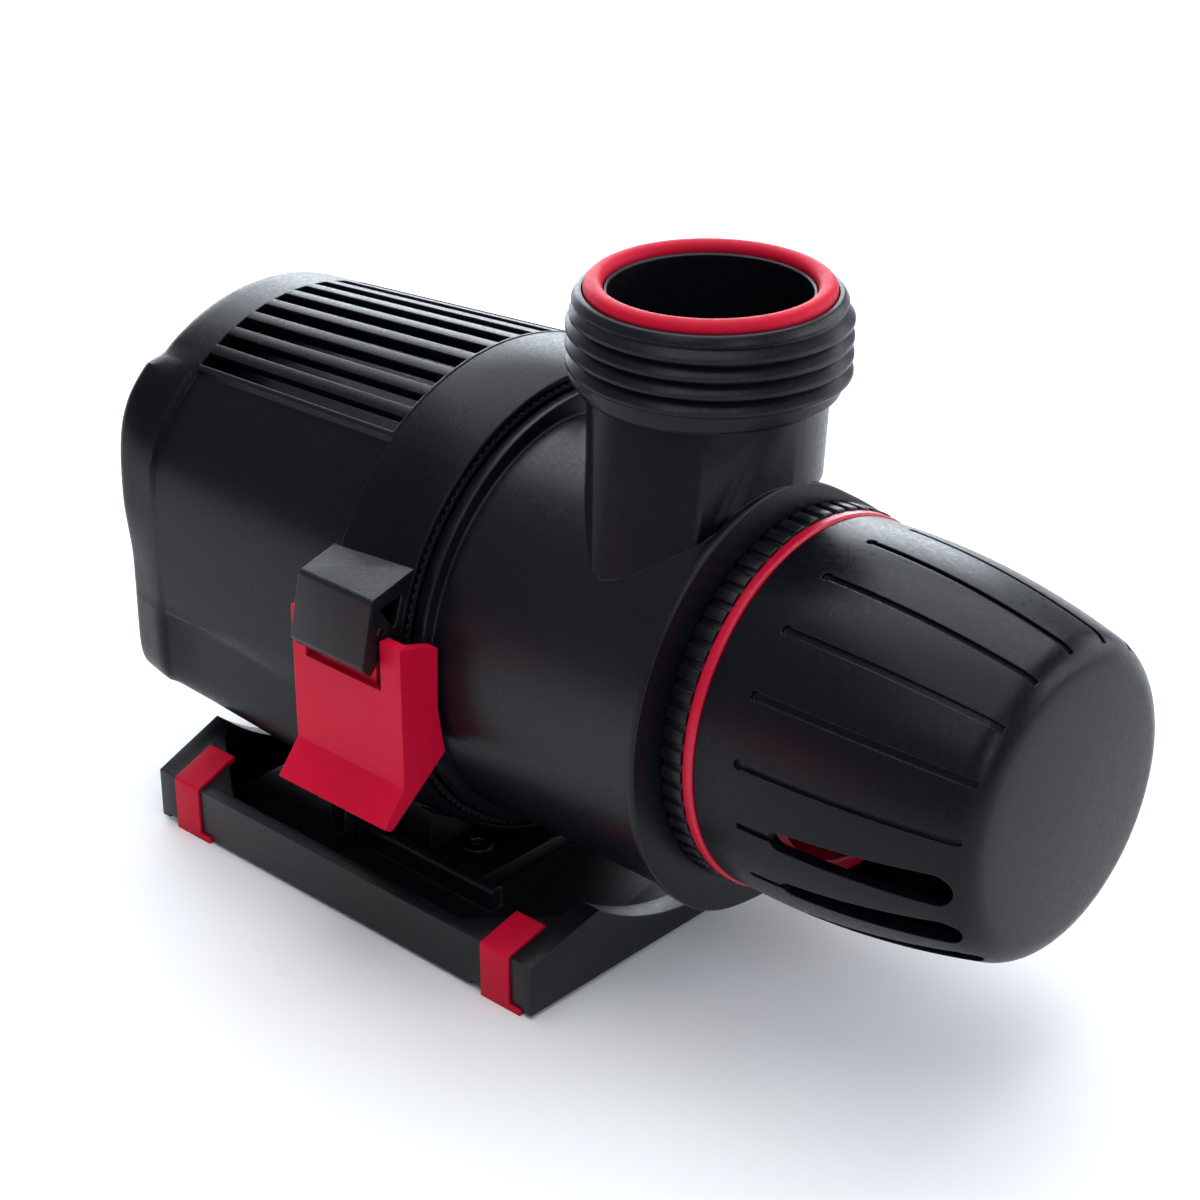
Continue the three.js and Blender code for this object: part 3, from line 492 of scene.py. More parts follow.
def soften(obj, width, segments=2, limit=35):
    """Rounds every edge sharper than the limit."""
    step = obj.modifiers.new("soften", "BEVEL")
    step.width = width
    step.segments = segments
    step.limit_method = "ANGLE"
    step.angle_limit = math.radians(limit)
    step.miter_outer = "MITER_ARC"
    return settle(obj)


def dress(obj, name, body, slot, material, *nodes, limit=34):
    """Moves a finished shape into the frame, shades it, and lets it stand for its CAD nodes."""
    obj.data.transform(Matrix.Translation(ORIGIN) @ Matrix.Scale(MM, 4))
    bm = bmesh.new()
    bm.from_mesh(obj.data)
    bmesh.ops.remove_doubles(bm, verts=bm.verts, dist=1e-7)
    for face in bm.faces:
        face.smooth = True
    for edge in bm.edges:
        edge.smooth = edge.calc_face_angle(0) < math.radians(limit)
    bm.to_mesh(obj.data)
    bm.free()
    obj.name = obj.data.name = name
    obj.data.materials.clear()
    obj.data.materials.append(material)
    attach(obj, body)
    if nodes:
        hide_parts(*nodes)
    return obj


def keep(node, material):
    """A CAD node that is shown as it is, in a better material."""
    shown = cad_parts[node]
    shown.data.materials.clear()
    shown.data.materials.append(material)


def between(low, high, share):
    return low + (high - low) * share


def toothed(radius, depth, teeth, rear, front, shares):
    """A disc whose rim is cut into teeth. The shares of a tooth's pitch say where it rises and falls."""
    outline = []
    for i in range(teeth):
        for share, reach in zip(shares, (radius - depth, radius, radius, radius - depth)):
            angle = 2 * math.pi * (i + share) / teeth
            outline.append((reach * math.cos(angle), reach * math.sin(angle)))
    return prism(outline, rear, front, "x")


# ---------------------------------------------------------------- base


def ridge_top(x):
    return between(RIDGE_REAR_TOP, RIDGE_FRONT_TOP, (x - BASE_REAR) / (BASE_FRONT - BASE_REAR))


def deck_slope(x):
    return (ridge_top(x) - BASE_SIDE_TOP) / (BASE_HALF_WIDTH - RIDGE_HALF_WIDTH)


def above_ground(obj):
    return shifted(obj, z=GROUND)


def strap_outline(slope, grow=0.0, reach=0.0):
    outer = -BASE_HALF_WIDTH - STRAP_PROUD
    inner = outer + STRAP_THICKNESS + grow
    top = BASE_SIDE_TOP + STRAP_PROUD - slope * STRAP_PROUD

    def rise(y):
        return top + slope * (y - outer)

    end = -STRAP_END + grow
    return [
        (outer - reach, -reach),
        (outer - reach, top + reach, 0.9),
        (end, rise(end) + reach, 0.5),
        (end, rise(end) - STRAP_THICKNESS - grow),
        (inner, rise(inner) - STRAP_THICKNESS - grow, 0.4),
        (inner, -reach),
    ]


def tray_blank():
    """The tray's solid shape: upright sides and a ridge that falls a little towards the front."""
    sections = []
    for x in (BASE_REAR, BASE_FRONT):
        half = [
            (-BASE_HALF_WIDTH, BASE_UNDERSIDE),
            (-BASE_HALF_WIDTH, BASE_SIDE_TOP),
            (-RIDGE_HALF_WIDTH, ridge_top(x)),
        ]
        outline = half + [(-y, z) for y, z in reversed(half)]
        sections.append([(x, y, z) for y, z in outline])
    return lofted(sections)


def tray_pocket():
    end = POCKET_END_HALF_WIDTH
    far = BASE_HALF_WIDTH - POCKET_SIDE_WALL
    outline = [
        (BASE_REAR + POCKET_END_WALL, end, 1), (BASE_REAR + POCKET_END_WALL, -end, 1),
        (BASE_REAR + POCKET_CORNER, -far, 1), (BASE_FRONT - POCKET_CORNER, -far, 1),
        (BASE_FRONT - POCKET_END_WALL, -end, 1), (BASE_FRONT - POCKET_END_WALL, end, 1),
        (BASE_FRONT - POCKET_CORNER, far, 1), (BASE_REAR + POCKET_CORNER, far, 1),
    ]
    return prism(rounded(outline), DECK_FLOOR, AXIS_Z / MM, "z")


def tray_rail(middle_y):
    low, high = middle_y - RAIL_HALF_WIDTH, middle_y + RAIL_HALF_WIDTH
    outline = [(low, DECK_FLOOR - 1), (low, RAIL_TOP, 1.2), (high, RAIL_TOP, 1.2), (high, DECK_FLOOR - 1)]
    return prism(rounded(outline), RAIL_REAR, RAIL_FRONT)


def foot_recess(offset, turn):
    """Room in the tray for one foot: its strap outside and its pad below."""
    clear = 0.15
    reach = 9.3
    below = -1.4
    half = STRAP_WIDTH / 2 + clear
    notch = prism(rounded(strap_outline(deck_slope(BASE_MIDDLE + offset), clear, reach), 1), -half, half)
    pad = block(
        (-PAD_HALF_LENGTH - GAP, -2 * BASE_HALF_WIDTH, below),
        (PAD_HALF_LENGTH + GAP, -PAD_END + GAP, PAD_THICKNESS + GAP),
    )
    return shifted(spun(fuse(notch, pad), turn, "Z"), BASE_MIDDLE + offset)


def base_tray():
    tray = tray_blank()
    saddle = shifted(rod(BASE_REAR - 2, BASE_FRONT + 2, SADDLE_RADIUS, sides=FINE_SIDES), z=AXIS_Z / MM)
    carve(tray, saddle, tray_pocket())
    fuse(tray, tray_rail(-RIDGE_HALF_WIDTH), tray_rail(RIDGE_HALF_WIDTH))
    for _, offset, turn in FEET:
        carve(tray, foot_recess(offset, turn))
    soften(tray, 0.45, 3)
    dress(above_ground(tray), "base_tray_detail", "pump", "charcoal_plastic", CHARCOAL, "base_tray")


def cradle():
    bottom = DECK_FLOOR + GAP
    half, outer = CRADLE_HALF_WIDTH, WING_HALF_WIDTH
    wing = [(-87.5, bottom), (-87.5, bottom + 0.5), (-72, 17), (-60, 19.3), (-58.5, 19.3), (-58.5, bottom)]
    body = block((-60, -half, bottom), (-42, half, 15))
    fuse(
        body,
        block((-72, 0.1 - outer, bottom), (-58.4, outer - 0.1, CRADLE_PLATE_TOP)),
        block((-42.5, -half - 0.2, bottom), (-28, half + 0.2, CRADLE_PLATE_TOP)),
        prism(wing, -outer, WING_THICKNESS - outer, "y"),
        prism(wing, outer - WING_THICKNESS, outer, "y"),
    )
    carve(body, shifted(rod(-95, 0, COLLAR_REAR_RADIUS + GAP, sides=FINE_SIDES), z=AXIS_Z / MM))
    soften(body, 0.5, 3)
    dress(above_ground(body), "cradle_detail", "pump", "charcoal_plastic", CHARCOAL, "cradle")


def feet():
    half = STRAP_WIDTH / 2
    outer = BASE_HALF_WIDTH + STRAP_PROUD
    for name, offset, turn in FEET:
        strap = prism(rounded(strap_outline(deck_slope(BASE_MIDDLE + offset))), -half, half)
        pad = block((SLIP - half, SLIP - outer, 0), (PAD_HALF_LENGTH, -PAD_END, PAD_THICKNESS))
        foot = fuse(strap, pad)
        soften(foot, 0.3, 3)
        shifted(spun(foot, turn, "Z"), BASE_MIDDLE + offset)
        dress(above_ground(foot), name + "_detail", "pump", "red_rubber", RED_RUBBER, name)


def screw(head_radius, head_height, shank_radius, shank_length):
    """A socket-head screw that points down, its head's seat at the origin."""
    profile = [
        (-shank_length, 0), (-shank_length, shank_radius, 0.3), (0, shank_radius),
        (0, head_radius, 0.15), (head_height, head_radius, 0.5), (head_height, 0),
    ]
    body = turned(rounded(profile, 3), "z", 48)
    socket = head_radius / 2
    hexagon = [(socket * math.cos(k * math.pi / 3), socket * math.sin(k * math.pi / 3)) for k in range(6)]
    carve(body, prism(hexagon, head_height * 0.35, head_height + 1, "z"))
    return soften(body, 0.08, 1)


def screws():
    for i, (x, y) in enumerate(CRADLE_SCREWS):
        fastener = shifted(screw(3, 1.8, 1.4, 5.4), x, y, CRADLE_PLATE_TOP + GAP)
        name = f"cradle_screw_{i + 1}"
        # The cradle screws get the darker stainless copy: painted shade of the deck's pocket.
        dress(above_ground(fastener), name + "_detail", "pump", "stainless_steel", SHADED_STEEL, name)
    head_height = 1.4
    for name in COVER_SCREWS:
        place = in_pump_axes(middle(name))
        seat = in_pump_axes(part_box(name)[0]).x + head_height
        fastener = moved(screw(2.6, head_height, 1.2, 4.2), Matrix.Rotation(-math.pi / 2, 4, "Y"))
        shifted(fastener, seat, place.y, place.z)
        dress(fastener, name + "_detail", "pump", "stainless_steel", STEEL, name)


# ---------------------------------------------------------------- motor


def clamped(value):
    return min(1.0, max(0.0, value))


def eased(value):
    value = clamped(value)
    return value * value * (3 - 2 * value)


def panel_foot(x):
    return between(PANEL_FOOT_REAR, PANEL_FOOT_FRONT, (x - SHROUD_REAR) / (COLLAR_REAR - SHROUD_REAR))


def shroud_radius(x, angle, inset=0.0):
    """Reach of the shroud from the pump's axis at an angle from the top, in degrees."""
    angle = abs(angle)
    share = (x - SHROUD_REAR) / (COLLAR_REAR - SHROUD_REAR)
    roof = between(SHROUD_REAR_RADIUS, COLLAR_REAR_RADIUS, share)
    side = between(SIDE_REAR, SIDE_FRONT, share)
    depth = PANEL_INSET * clamped(x - PANEL_REAR)
    flare = BAND_FLARE * eased((PANEL_REAR - x) / 9)
    flare *= clamped((angle - 37) / 5) * (1 - eased((angle - 48) / 22))
    below_panel = clamped((angle - panel_foot(x)) / 1.3)
    side -= REAR_TAPER * eased((PANEL_REAR - x) / 12) * eased((angle - 78) / 24)
    foot_depth = FOOT_INSET * clamped((x - PANEL_REAR + 1) / 3)
    plain = roof - depth * clamped((angle - PANEL_TOP) / 0.9)
    reach = plain + flare
    sideways = math.sin(math.radians(angle))
    if sideways > 0.1:
        flat = (side - foot_depth * below_panel) / sideways
        reach = (reach ** -40 + flat ** -40) ** (-1 / 40)
        if below_panel:
            floor = -SHROUD_FLOOR / math.cos(math.radians(angle))
            corner = (flat ** -14 + floor ** -14) ** (-1 / 14)
            reach = max(reach, corner)
    return reach - inset


def shroud_angles():
    """Angles from the top round to the bottom, with lines on the edges of every slot and panel."""
    half_slot = math.degrees(math.asin(SLOT_WIDTH / 2 / 44))
    angles = {PANEL_TOP + step for step in (0, 0.3, 0.9)} | {PANEL_FOOT + step for step in (0, 0.6, 1.3)}
    first = -(SLOT_COUNT - 1) / 2
    for k in range(SLOT_COUNT):
        centre = (first + k) * SLOT_PITCH
        for edge in (centre - half_slot, centre + half_slot):
            if edge > 0:
                angles.add(edge)
    angles.add(half_slot - 1.0)
    angles.update(float(a) for a in range(42, 106, 2))
    angles.update(float(a) for a in range(110, 180, 2))
    positive = sorted(a for a in angles if 0 < a < 180)
    return [0.0] + positive + [180.0] + [-a for a in reversed(positive)]


def motor_housing():
    angles = shroud_angles()
    half_slot = math.degrees(math.asin(SLOT_WIDTH / 2 / 44))

    def ring(x, reach):
        points = []
        for line in angles:
            shift = (panel_foot(x) - PANEL_FOOT) * max(0.0, 1 - abs(abs(line) - PANEL_FOOT) / 35)
            angle = line + math.copysign(shift, line)
            radius = reach(x, angle) if callable(reach) else reach
            points.append((x, radius * math.sin(math.radians(angle)), radius * math.cos(math.radians(angle))))
        return points

    def wall(inset):
        return lambda x, angle: shroud_radius(x, angle, inset)

    rings = [ring(SHROUD_REAR, 31)]
    for k in range(7):
        turn = math.pi / 2 * k / 6
        rings.append(ring(SHROUD_REAR + 3 * (1 - math.cos(turn)), wall(3 * (1 - math.sin(turn)))))
    for x in (-111, -109, -107, -105, PANEL_REAR, PANEL_REAR + 1):
        rings.append(ring(x, wall(0)))
    outer_start = len(rings)
    slot_stations = [SLOT_REAR, -92, -81, -70, -59, SLOT_FRONT]
    rings += [ring(x, wall(0)) for x in slot_stations]
    outer_end = len(rings) - 1
    rings.append(ring(COLLAR_REAR, wall(0)))
    for x, radius in rounded(
        [
            (COLLAR_REAR, COLLAR_REAR_RADIUS - 2),
            (COLLAR_REAR, COLLAR_REAR_RADIUS, 0.5),
            (COLLAR_FRONT, COLLAR_FRONT_RADIUS, 0.7),
            (COLLAR_FRONT, 43.4, 0.2),
            (COLLAR_FRONT - 1.3, 43.4),
        ],
        3,
    )[1:]:
        rings.append(ring(x, radius))
    rings.append(ring(COLLAR_FRONT - 1.3, 41.2))
    rings.append(ring(COLLAR_REAR + 1, 41.2))
    inner_start = len(rings)
    rings += [ring(x, wall(SHROUD_WALL)) for x in reversed(slot_stations)]
    inner_end = len(rings) - 1
    rings.append(ring(SHROUD_REAR + 3, wall(SHROUD_WALL + 0.4)))
    rings.append(ring(SHROUD_REAR + 3, 31))

    def in_slot(i):
        low, high = angles[i], angles[(i + 1) % len(angles)]
        if abs(low - high) > 90:
            return False
        centre = (low + high) / 2
        nearest = round(centre / SLOT_PITCH)
        return abs(nearest) <= (SLOT_COUNT - 1) / 2 and abs(centre - nearest * SLOT_PITCH) < half_slot

    bm = bmesh.new()
    verts = [[bm.verts.new(p) for p in points] for points in rings]
    count = len(angles)
    for k in range(len(rings)):
        after = (k + 1) % len(rings)
        for i in range(count):
            j = (i + 1) % count
            slotted = outer_start <= k < outer_end or inner_start <= k < inner_end
            if slotted and in_slot(i):
                continue
            bm.faces.new((verts[k][i], verts[k][j], verts[after][j], verts[after][i]))
    for i in range(count):
        j = (i + 1) % count
        if not in_slot(i):
            continue
        for k, inner in ((outer_start, inner_end), (outer_end, inner_start)):
            bm.faces.new((verts[k][i], verts[k][j], verts[inner][j], verts[inner][i]))
        for side, other in ((i, (i - 1) % count), (j, j)):
            if in_slot(other):
                continue
            for step in range(outer_end - outer_start):
                k, inner = outer_start + step, inner_end - step
                bm.faces.new((verts[k][side], verts[k + 1][side], verts[inner - 1][side], verts[inner][side]))
    shell = blank("shell", bm)
    soften(shell, 0.3, 2, 50)
    dress(shell, "motor_housing_detail", "pump", "charcoal_plastic", SHROUD, "motor_housing", limit=28)


def rear_end():
    low, high = (in_pump_axes(corner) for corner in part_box("rear_cover"))
    rear, front, radius = low.x, high.x, high.y
    face = rear + 0.5  # the cover's face, inside its raised ring
    profile = [
        (face, 0), (face, 17, 0.4), (rear, 18, 0.4), (rear, 21.5, 0.6),
        (face, 23, 0.6), (face, radius, 0.5), (front, radius), (front, 0),
    ]
    cover = turned(rounded(profile, 3))
    places = [in_pump_axes(middle(name)) for name in COVER_SCREWS]
    sinks = [shifted(rod(rear - 2, rear + 1.3, 3.4), y=place.y, z=place.z) for place in places]
    holes = [shifted(rod(rear - 3, front + 3, 1.6), y=place.y, z=place.z) for place in places]
    gland_z = in_pump_axes(middle("cable_gland")).z
    carve(cover, *sinks, *holes, shifted(rod(rear - 2, front + 2, 5.3), z=gland_z))
    soften(cover, 0.2, 2, 50)
    dress(cover, "rear_cover_detail", "pump", "charcoal_plastic", SATIN, "rear_cover")
    cable_gland(in_pump_axes(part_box("cable_gland")[0]).x, rear, front, gland_z)


def cable_gland(start, rear, front, height):
    """A stepped rubber sleeve with a flange on the cover and a lip on its end."""
    bore, neck, flange = 3.6, 5, 7.4
    profile = [
        (front + 1.4, bore), (front + 1.4, neck), (rear - 0.3, neck),
        (rear - 0.3, flange, 0.4), (rear - 2, flange, 0.5), (rear - 2.6, 6.2, 0.3),
        (start + 2.8, 5.9, 0.4), (start + 2.4, 5.3, 0.3), (start + 1.6, 5.2, 0.3),
        (start + 1.2, 5.5, 0.3), (start, 4.8, 0.4), (start, bore, 0.4),
    ]
    gland = shifted(turned(rounded(profile, 3), sides=64), z=height)
    dress(gland, "cable_gland_detail", "pump", "black_rubber", BLACK_RUBBER, "cable_gland")


# ---------------------------------------------------------------- pump head


def helix_thread():
    """The ridge of the outlet's thread: one blunt crest wound round the neck, fading at both ends."""
    steps = 120  # sections in a turn
    lead = 0.12  # of a turn over which the ridge rises from the root
    start = math.radians(200)
    top = OUTLET_TOP - 2.4
    total = int(steps * (THREAD_TURNS + 0.15))
    sections = []
    for k in range(total + 1):
        turn = k / steps
        share = max(0.02, min(1.0, turn / lead, (total / steps - turn) / lead))
        angle = 2 * math.pi * turn + start
        height = top - THREAD_PITCH * turn
        crest = between(THREAD_ROOT + 0.02, THREAD_CREST, share)
        ridge = [
            (THREAD_ROOT - 0.6, height - 1.3), (THREAD_ROOT, height - 1.25), (crest - 0.25, height - 0.95),
            (crest, height - 0.7), (crest, height - 0.15), (crest - 0.3, height + 0.25),
            (THREAD_ROOT + 0.15, height + 1.45), (THREAD_ROOT - 0.6, height + 1.5),
        ]
        sections.append([(r * math.cos(angle), r * math.sin(angle), z) for r, z in ridge])
    return lofted(sections)


def o_ring_groove():
    """The groove's outline in the outlet's rim, from its inner edge to its outer one."""
    radius = O_RING_TUBE + 0.25
    bottom = OUTLET_TOP + 0.25
    turns = [math.pi * between(0.04, 0.96, k / 12) for k in range(13)]
    return [(bottom - radius * math.sin(turn), O_RING_RADIUS - radius * math.cos(turn)) for turn in turns]


def neck_outline():
    """The outlet's wall as a closed outline: bore, groove for the O-ring, rim, thread root and collar."""
    start = 24  # inside the casing
    outside = [
        (start, 0), (start, NECK_FOOT_RADIUS),
        (NECK_FOOT, NECK_FOOT_RADIUS),
        (OUTLET_TOP - 16.9, NECK_RADIUS, 0.8),
        (OUTLET_TOP - 16.5, COLLAR_RADIUS, 0.4),
        (OUTLET_TOP - 13.5, COLLAR_RADIUS, 0.2),
        (OUTLET_TOP - 13.3, THREAD_ROOT, 0.1),
        (OUTLET_TOP - 1.9, THREAD_ROOT + 0.2, 0.1),
        (OUTLET_TOP - 1.6, THREAD_ROOT + 0.9, 0.3),
        (OUTLET_TOP, THREAD_ROOT - 0.1, 0.7),
        (OUTLET_TOP, THREAD_ROOT - 1),
    ]
    lip = OUTLET_TOP - 0.8
    inside = [(OUTLET_TOP - 0.2, OUTLET_BORE + 0.1), (lip, OUTLET_BORE - 1), (lip, 0)]
    return rounded(outside, 4)[:-1] + list(reversed(o_ring_groove())) + inside


def casing_reach(angle):
    """Radius of the front flange at an angle from +Y, eased between the spiral's stations."""
    turn = SPIRAL[0][0] + (angle - SPIRAL[0][0]) % 360
    for (a0, r0), (a1, r1) in zip(SPIRAL, SPIRAL[1:]):
        if turn <= a1:
            return between(r0, r1, (turn - a0) / (a1 - a0))
    return SPIRAL[-1][1]


def softened_reach(angle):
    """The casing's radius with the corners between its stations smoothed out."""
    return sum(casing_reach(angle + step) for step in range(-8, 9, 2)) / 9


def spiralled(outline, sides=200):
    """A closed outline of (along, radius, share) round X. A share of 1 follows the spiral, 0 stays round."""
    bm = bmesh.new()
    reaches = [softened_reach(360 * i / sides) - FLANGE_RADIUS for i in range(sides)]
    rings = []
    for along, radius, share in outline:
        ring = []
        for i in range(1 if radius < POLE else sides):
            angle = 2 * math.pi * i / sides
            reach = radius + share * reaches[i] if radius > POLE else 0
            ring.append(bm.verts.new((along, reach * math.cos(angle), reach * math.sin(angle))))
        rings.append(ring)
    for first, second in zip(rings, rings[1:]):
        bridge(bm, first, second)
    return blank("spiral", bm)


def casing():
    """The solid outside of the volute: a round step in the seam, the spiral and its front flange."""
    step_front = VOLUTE_REAR + 2.4
    round_part = rounded(
        [
            (VOLUTE_REAR, 30), (VOLUTE_REAR, RING_RADIUS, 0.45),
            (step_front, RING_RADIUS, 0.45), (step_front, CASING_RADIUS),
        ],
        4,
    )[:-1]
    spiral_part = rounded(
        [
            (step_front, CASING_RADIUS + 2),
            (step_front, CASING_RADIUS - 0.1, 0.4),
            (FLANGE_REAR - 0.1, CASING_RADIUS, 0.5),
            (FLANGE_REAR, FLANGE_RADIUS, 0.4),
            (FLANGE_FRONT, FLANGE_RADIUS, 0.5),
            (FLANGE_FRONT, 35),
        ],
        4,
    )[1:]
    outline = [(VOLUTE_REAR, 0, 0)] + [(x, r, 0) for x, r in round_part]
    outline += [(x, r, 1) for x, r in spiral_part] + [(FLANGE_FRONT, 0, 0)]
    return spiralled(outline)


def blend():
    """The tangent flank between the neck and the casing's near side."""
    points = []
    steps = 4
    for (x0, a0), (x1, a1) in zip(BLEND_EDGE, BLEND_EDGE[1:] + BLEND_EDGE[-1:]):
        for k in range(steps if (x0, a0) != (x1, a1) else 1):
            x, angle = between(x0, x1, k / steps), between(a0, a1, k / steps)
            radius = casing_reach(angle) - FLANGE_PROUD + 0.1
            points.append((x, radius * math.cos(math.radians(angle)), radius * math.sin(math.radians(angle))))
    top = (OUTLET_TOP - 17.3, NECK_RADIUS, 0, 0)
    foot = (NECK_FOOT, BLEND_FOOT_RADIUS, BLEND_FOOT_X, BLEND_FOOT_Y)
    for height, radius, x, y in (top, foot):
        radius -= SLIP
        for k in range(SIDES):
            angle = 2 * math.pi * k / SIDES
            points.append((x + radius * math.cos(angle), y + radius * math.sin(angle), height))
    return hull(points)


def volute_housing():
    body = fuse(casing(), turned(neck_outline(), "z"), blend())
    inner = CASING_RADIUS - VOLUTE_WALL
    chamber_outline = [
        (CHAMBER_REAR, 0, 0), (CHAMBER_REAR, inner, 1),
        (CHAMBER_FRONT, inner, 1), (CHAMBER_FRONT, 0, 0),
    ]
    carve(
        body,
        rod(VOLUTE_REAR - 2, CHAMBER_REAR + 0.2, PLUG_RADIUS + GAP, sides=120),
        spiralled(chamber_outline, 120),
        rod(20, OUTLET_TOP + 3, OUTLET_BORE, axis="z", sides=SIDES),
    )
    fuse(body, tube(9, CHAMBER_FRONT + 0.7, THROAT, THROAT + 2, sides=96))
    carve(body, rod(8, 30, THROAT, sides=96))
    fuse(body, helix_thread())
    dress(body, "volute_housing_detail", "pump", "charcoal_plastic", HEAD, "volute_housing", limit=26)


def outlet_o_ring():
    turns = [2 * math.pi * k / 24 for k in range(24)]
    height = OUTLET_TOP + 0.2
    tube_radius = O_RING_TUBE
    outline = [(height + tube_radius * math.sin(t), O_RING_RADIUS + tube_radius * math.cos(t)) for t in turns]
    ring = turned(outline, "z", 200)
    dress(ring, "outlet_o_ring_detail", "pump", "red_rubber", RED_RUBBER, "outlet_o_ring")


def head_seal():
    rear, front = COLLAR_FRONT - 1, COLLAR_FRONT + 0.1
    ring = toothed(SEAL_RADIUS, SEAL_DEPTH, SEAL_TEETH, rear, front, (0, 0.1, 0.5, 0.6))
    carve(ring, rod(rear - 1, front + 1, SEAL_BORE, sides=SIDES))
    dress(ring, "head_seal_detail", "pump", "black_rubber", BLACK_RUBBER, "head_seal")


def grip_ring():
    rear, front = FLANGE_FRONT + 0.2, RED_RING_REAR - 0.1
    ring = toothed(GRIP_RADIUS, GRIP_DEPTH, GRIP_TEETH, rear, front, (0, 0.05, 0.62, 0.67))
    carve(ring, rod(rear - 1, front + 1, SPIGOT_RADIUS + 1, sides=SIDES))
    soften(ring, 0.15, 2, 40)
    dress(ring, "grip_ring_detail", "intake_ring", "charcoal_plastic", CHARCOAL, "grip_ring")


def intake_nozzle():
    inner, outer = SPIGOT_RADIUS - SPIGOT_WALL, SPIGOT_RADIUS + 0.6
    profile = [
        (FLANGE_FRONT + GAP, inner), (FLANGE_FRONT + GAP, outer),
        (RED_RING_REAR, outer), (RED_RING_REAR, RED_RING_RADIUS, 0.35),
        (RED_RING_FRONT, RED_RING_RADIUS, 0.5), (RED_RING_FRONT, SPIGOT_RADIUS, 0.3),
        (SPIGOT_FRONT, SPIGOT_RADIUS, 0.6), (SPIGOT_FRONT, inner, 0.6),
    ]
    shell = turned(rounded(profile))
    dress(shell, "intake_nozzle_detail", "pump", "red_plastic", RED_GLOSS, "intake_nozzle")


def bearing_spider():
    outer = THROAT - GAP
    cup_rear, cup_bore, cup_radius, cup_front = 18.3, 7.4, 8.6, 29.4
    profile = [
        (cup_rear, cup_bore), (cup_rear, cup_radius, 0.3), (27.5, cup_radius, 1.5),
        (cup_front, 5, 1.2), (cup_front, 0.01), (27, 0.01), (27, cup_bore),
    ]
    arms = []
    for angle in (0, 120, 240):
        arm = block((19.5, -1.1, 8.2), (22, 1.1, outer - 0.6))
        arms.append(soften(spun(arm, angle), 0.3, 2))
    spider = joined(tube(16, 22, outer - 1.2, outer, sides=96), turned(rounded(profile), sides=64), *arms)
    dress(spider, "bearing_spider_detail", "pump", "charcoal_plastic", SATIN, "bearing_spider")


def barrel_radius(x):
    share = max(0.0, (x - CAGE_BARREL_START) / (CAGE_CORNER_START - CAGE_BARREL_START))
    return between(CAGE_RADIUS, CAGE_END_RADIUS, share) + CAGE_BULGE * share * (1 - share)


def cage_outline(inset):
    """The strainer's outside or inside, from the open end to the middle of the closed one."""
    length = CAGE_CORNER_START - CAGE_BARREL_START
    fall = math.atan((CAGE_END_RADIUS - CAGE_RADIUS - CAGE_BULGE) / length)
    start, end = math.pi / 2 + fall, math.radians(5)
    centre_x = CAGE_CORNER_START - CAGE_CORNER * math.cos(start)
    centre_radius = CAGE_END_RADIUS - CAGE_CORNER * math.sin(start)
    first = CAGE_REAR if not inset else CAGE_REAR + CAGE_SKIRT
    stations = [first] + [first + 0.8 + 2.4 * k for k in range(20)]
    outline = [(x, barrel_radius(x) - inset) for x in stations if x < CAGE_CORNER_START - 0.4]
    corner = CAGE_CORNER - inset
    for k in range(9):
        angle = between(start, end, k / 8)
        outline.append((centre_x + corner * math.cos(angle), centre_radius + corner * math.sin(angle)))
    rim_x, rim_radius = outline[-1]
    tip = CAGE_TIP - inset
    for k in range(1, 6):
        share = k / 6
        outline.append((between(rim_x, tip, 1 - (1 - share) ** 2), rim_radius * (1 - share)))
    return outline + [(tip, 0)]


def reach_at(outline, x):
    """The outline's radius at x."""
    for (x0, r0), (x1, r1) in zip(outline, outline[1:]):
        if x0 <= x <= x1:
            return between(r0, r1, (x - x0) / (x1 - x0))
    return 0


def groove(outline, end):
    """A narrow channel that follows the barrel at a steady depth."""
    step, above, half = 1.3, 2, GROOVE_HALF_WIDTH
    sections = []
    for k in range(int((end - GROOVE_START) / step) + 1):
        x = GROOVE_START + step * k
        radius = reach_at(outline, x)
        low, high = radius - GROOVE_DEPTH, radius + above
        sections.append([(x, -half, low), (x, -half, high), (x, half, high), (x, half, low)])
    return lofted(sections)


def open_slot():
    """A tool with rounded ends, wider at the front, that reaches through the wall."""
    outline = []
    for x, radius, first in (
        (SLOT_START, SLOT_START_HALF_WIDTH, math.pi / 2),
        (SLOT_END, SLOT_END_HALF_WIDTH, -math.pi / 2),
    ):
        for k in range(9):
            turn = first + math.pi * k / 8
            outline.append((x + radius * math.cos(turn), radius * math.sin(turn)))
    return prism(outline, 20, 40, "z")


def strainer_cage():
    outside = cage_outline(0)
    inside = list(reversed(cage_outline(CAGE_WALL)))
    fit = SPIGOT_RADIUS + GAP
    cage = turned(outside + inside + [(CAGE_REAR + CAGE_SKIRT, fit), (CAGE_REAR, fit)], sides=180)
    floor = reach_at(outside, GROOVE_START) - GROOVE_DEPTH
    tools = []
    for k in range(RIB_COUNT):
        angle = FIRST_GROOVE + RIB_STEP * k
        tools.append(spun(groove(outside, GROOVE_END), angle))
        dimple = shifted(rod(floor, 40, DIMPLE_RADIUS, axis="z", sides=20), GROOVE_START)
        tools.append(spun(dimple, angle))
    for k in range(RIB_COUNT):
        angle = FIRST_SLOT + RIB_STEP * k
        tools.append(spun(groove(outside, GROOVE_LEAD_END), angle))
        tools.append(spun(open_slot(), angle))
    carve(cage, *tools)
    dress(cage, "strainer_cage_detail", "strainer", "charcoal_plastic", SATIN, "strainer_cage", limit=30)


# ---------------------------------------------------------------- latches


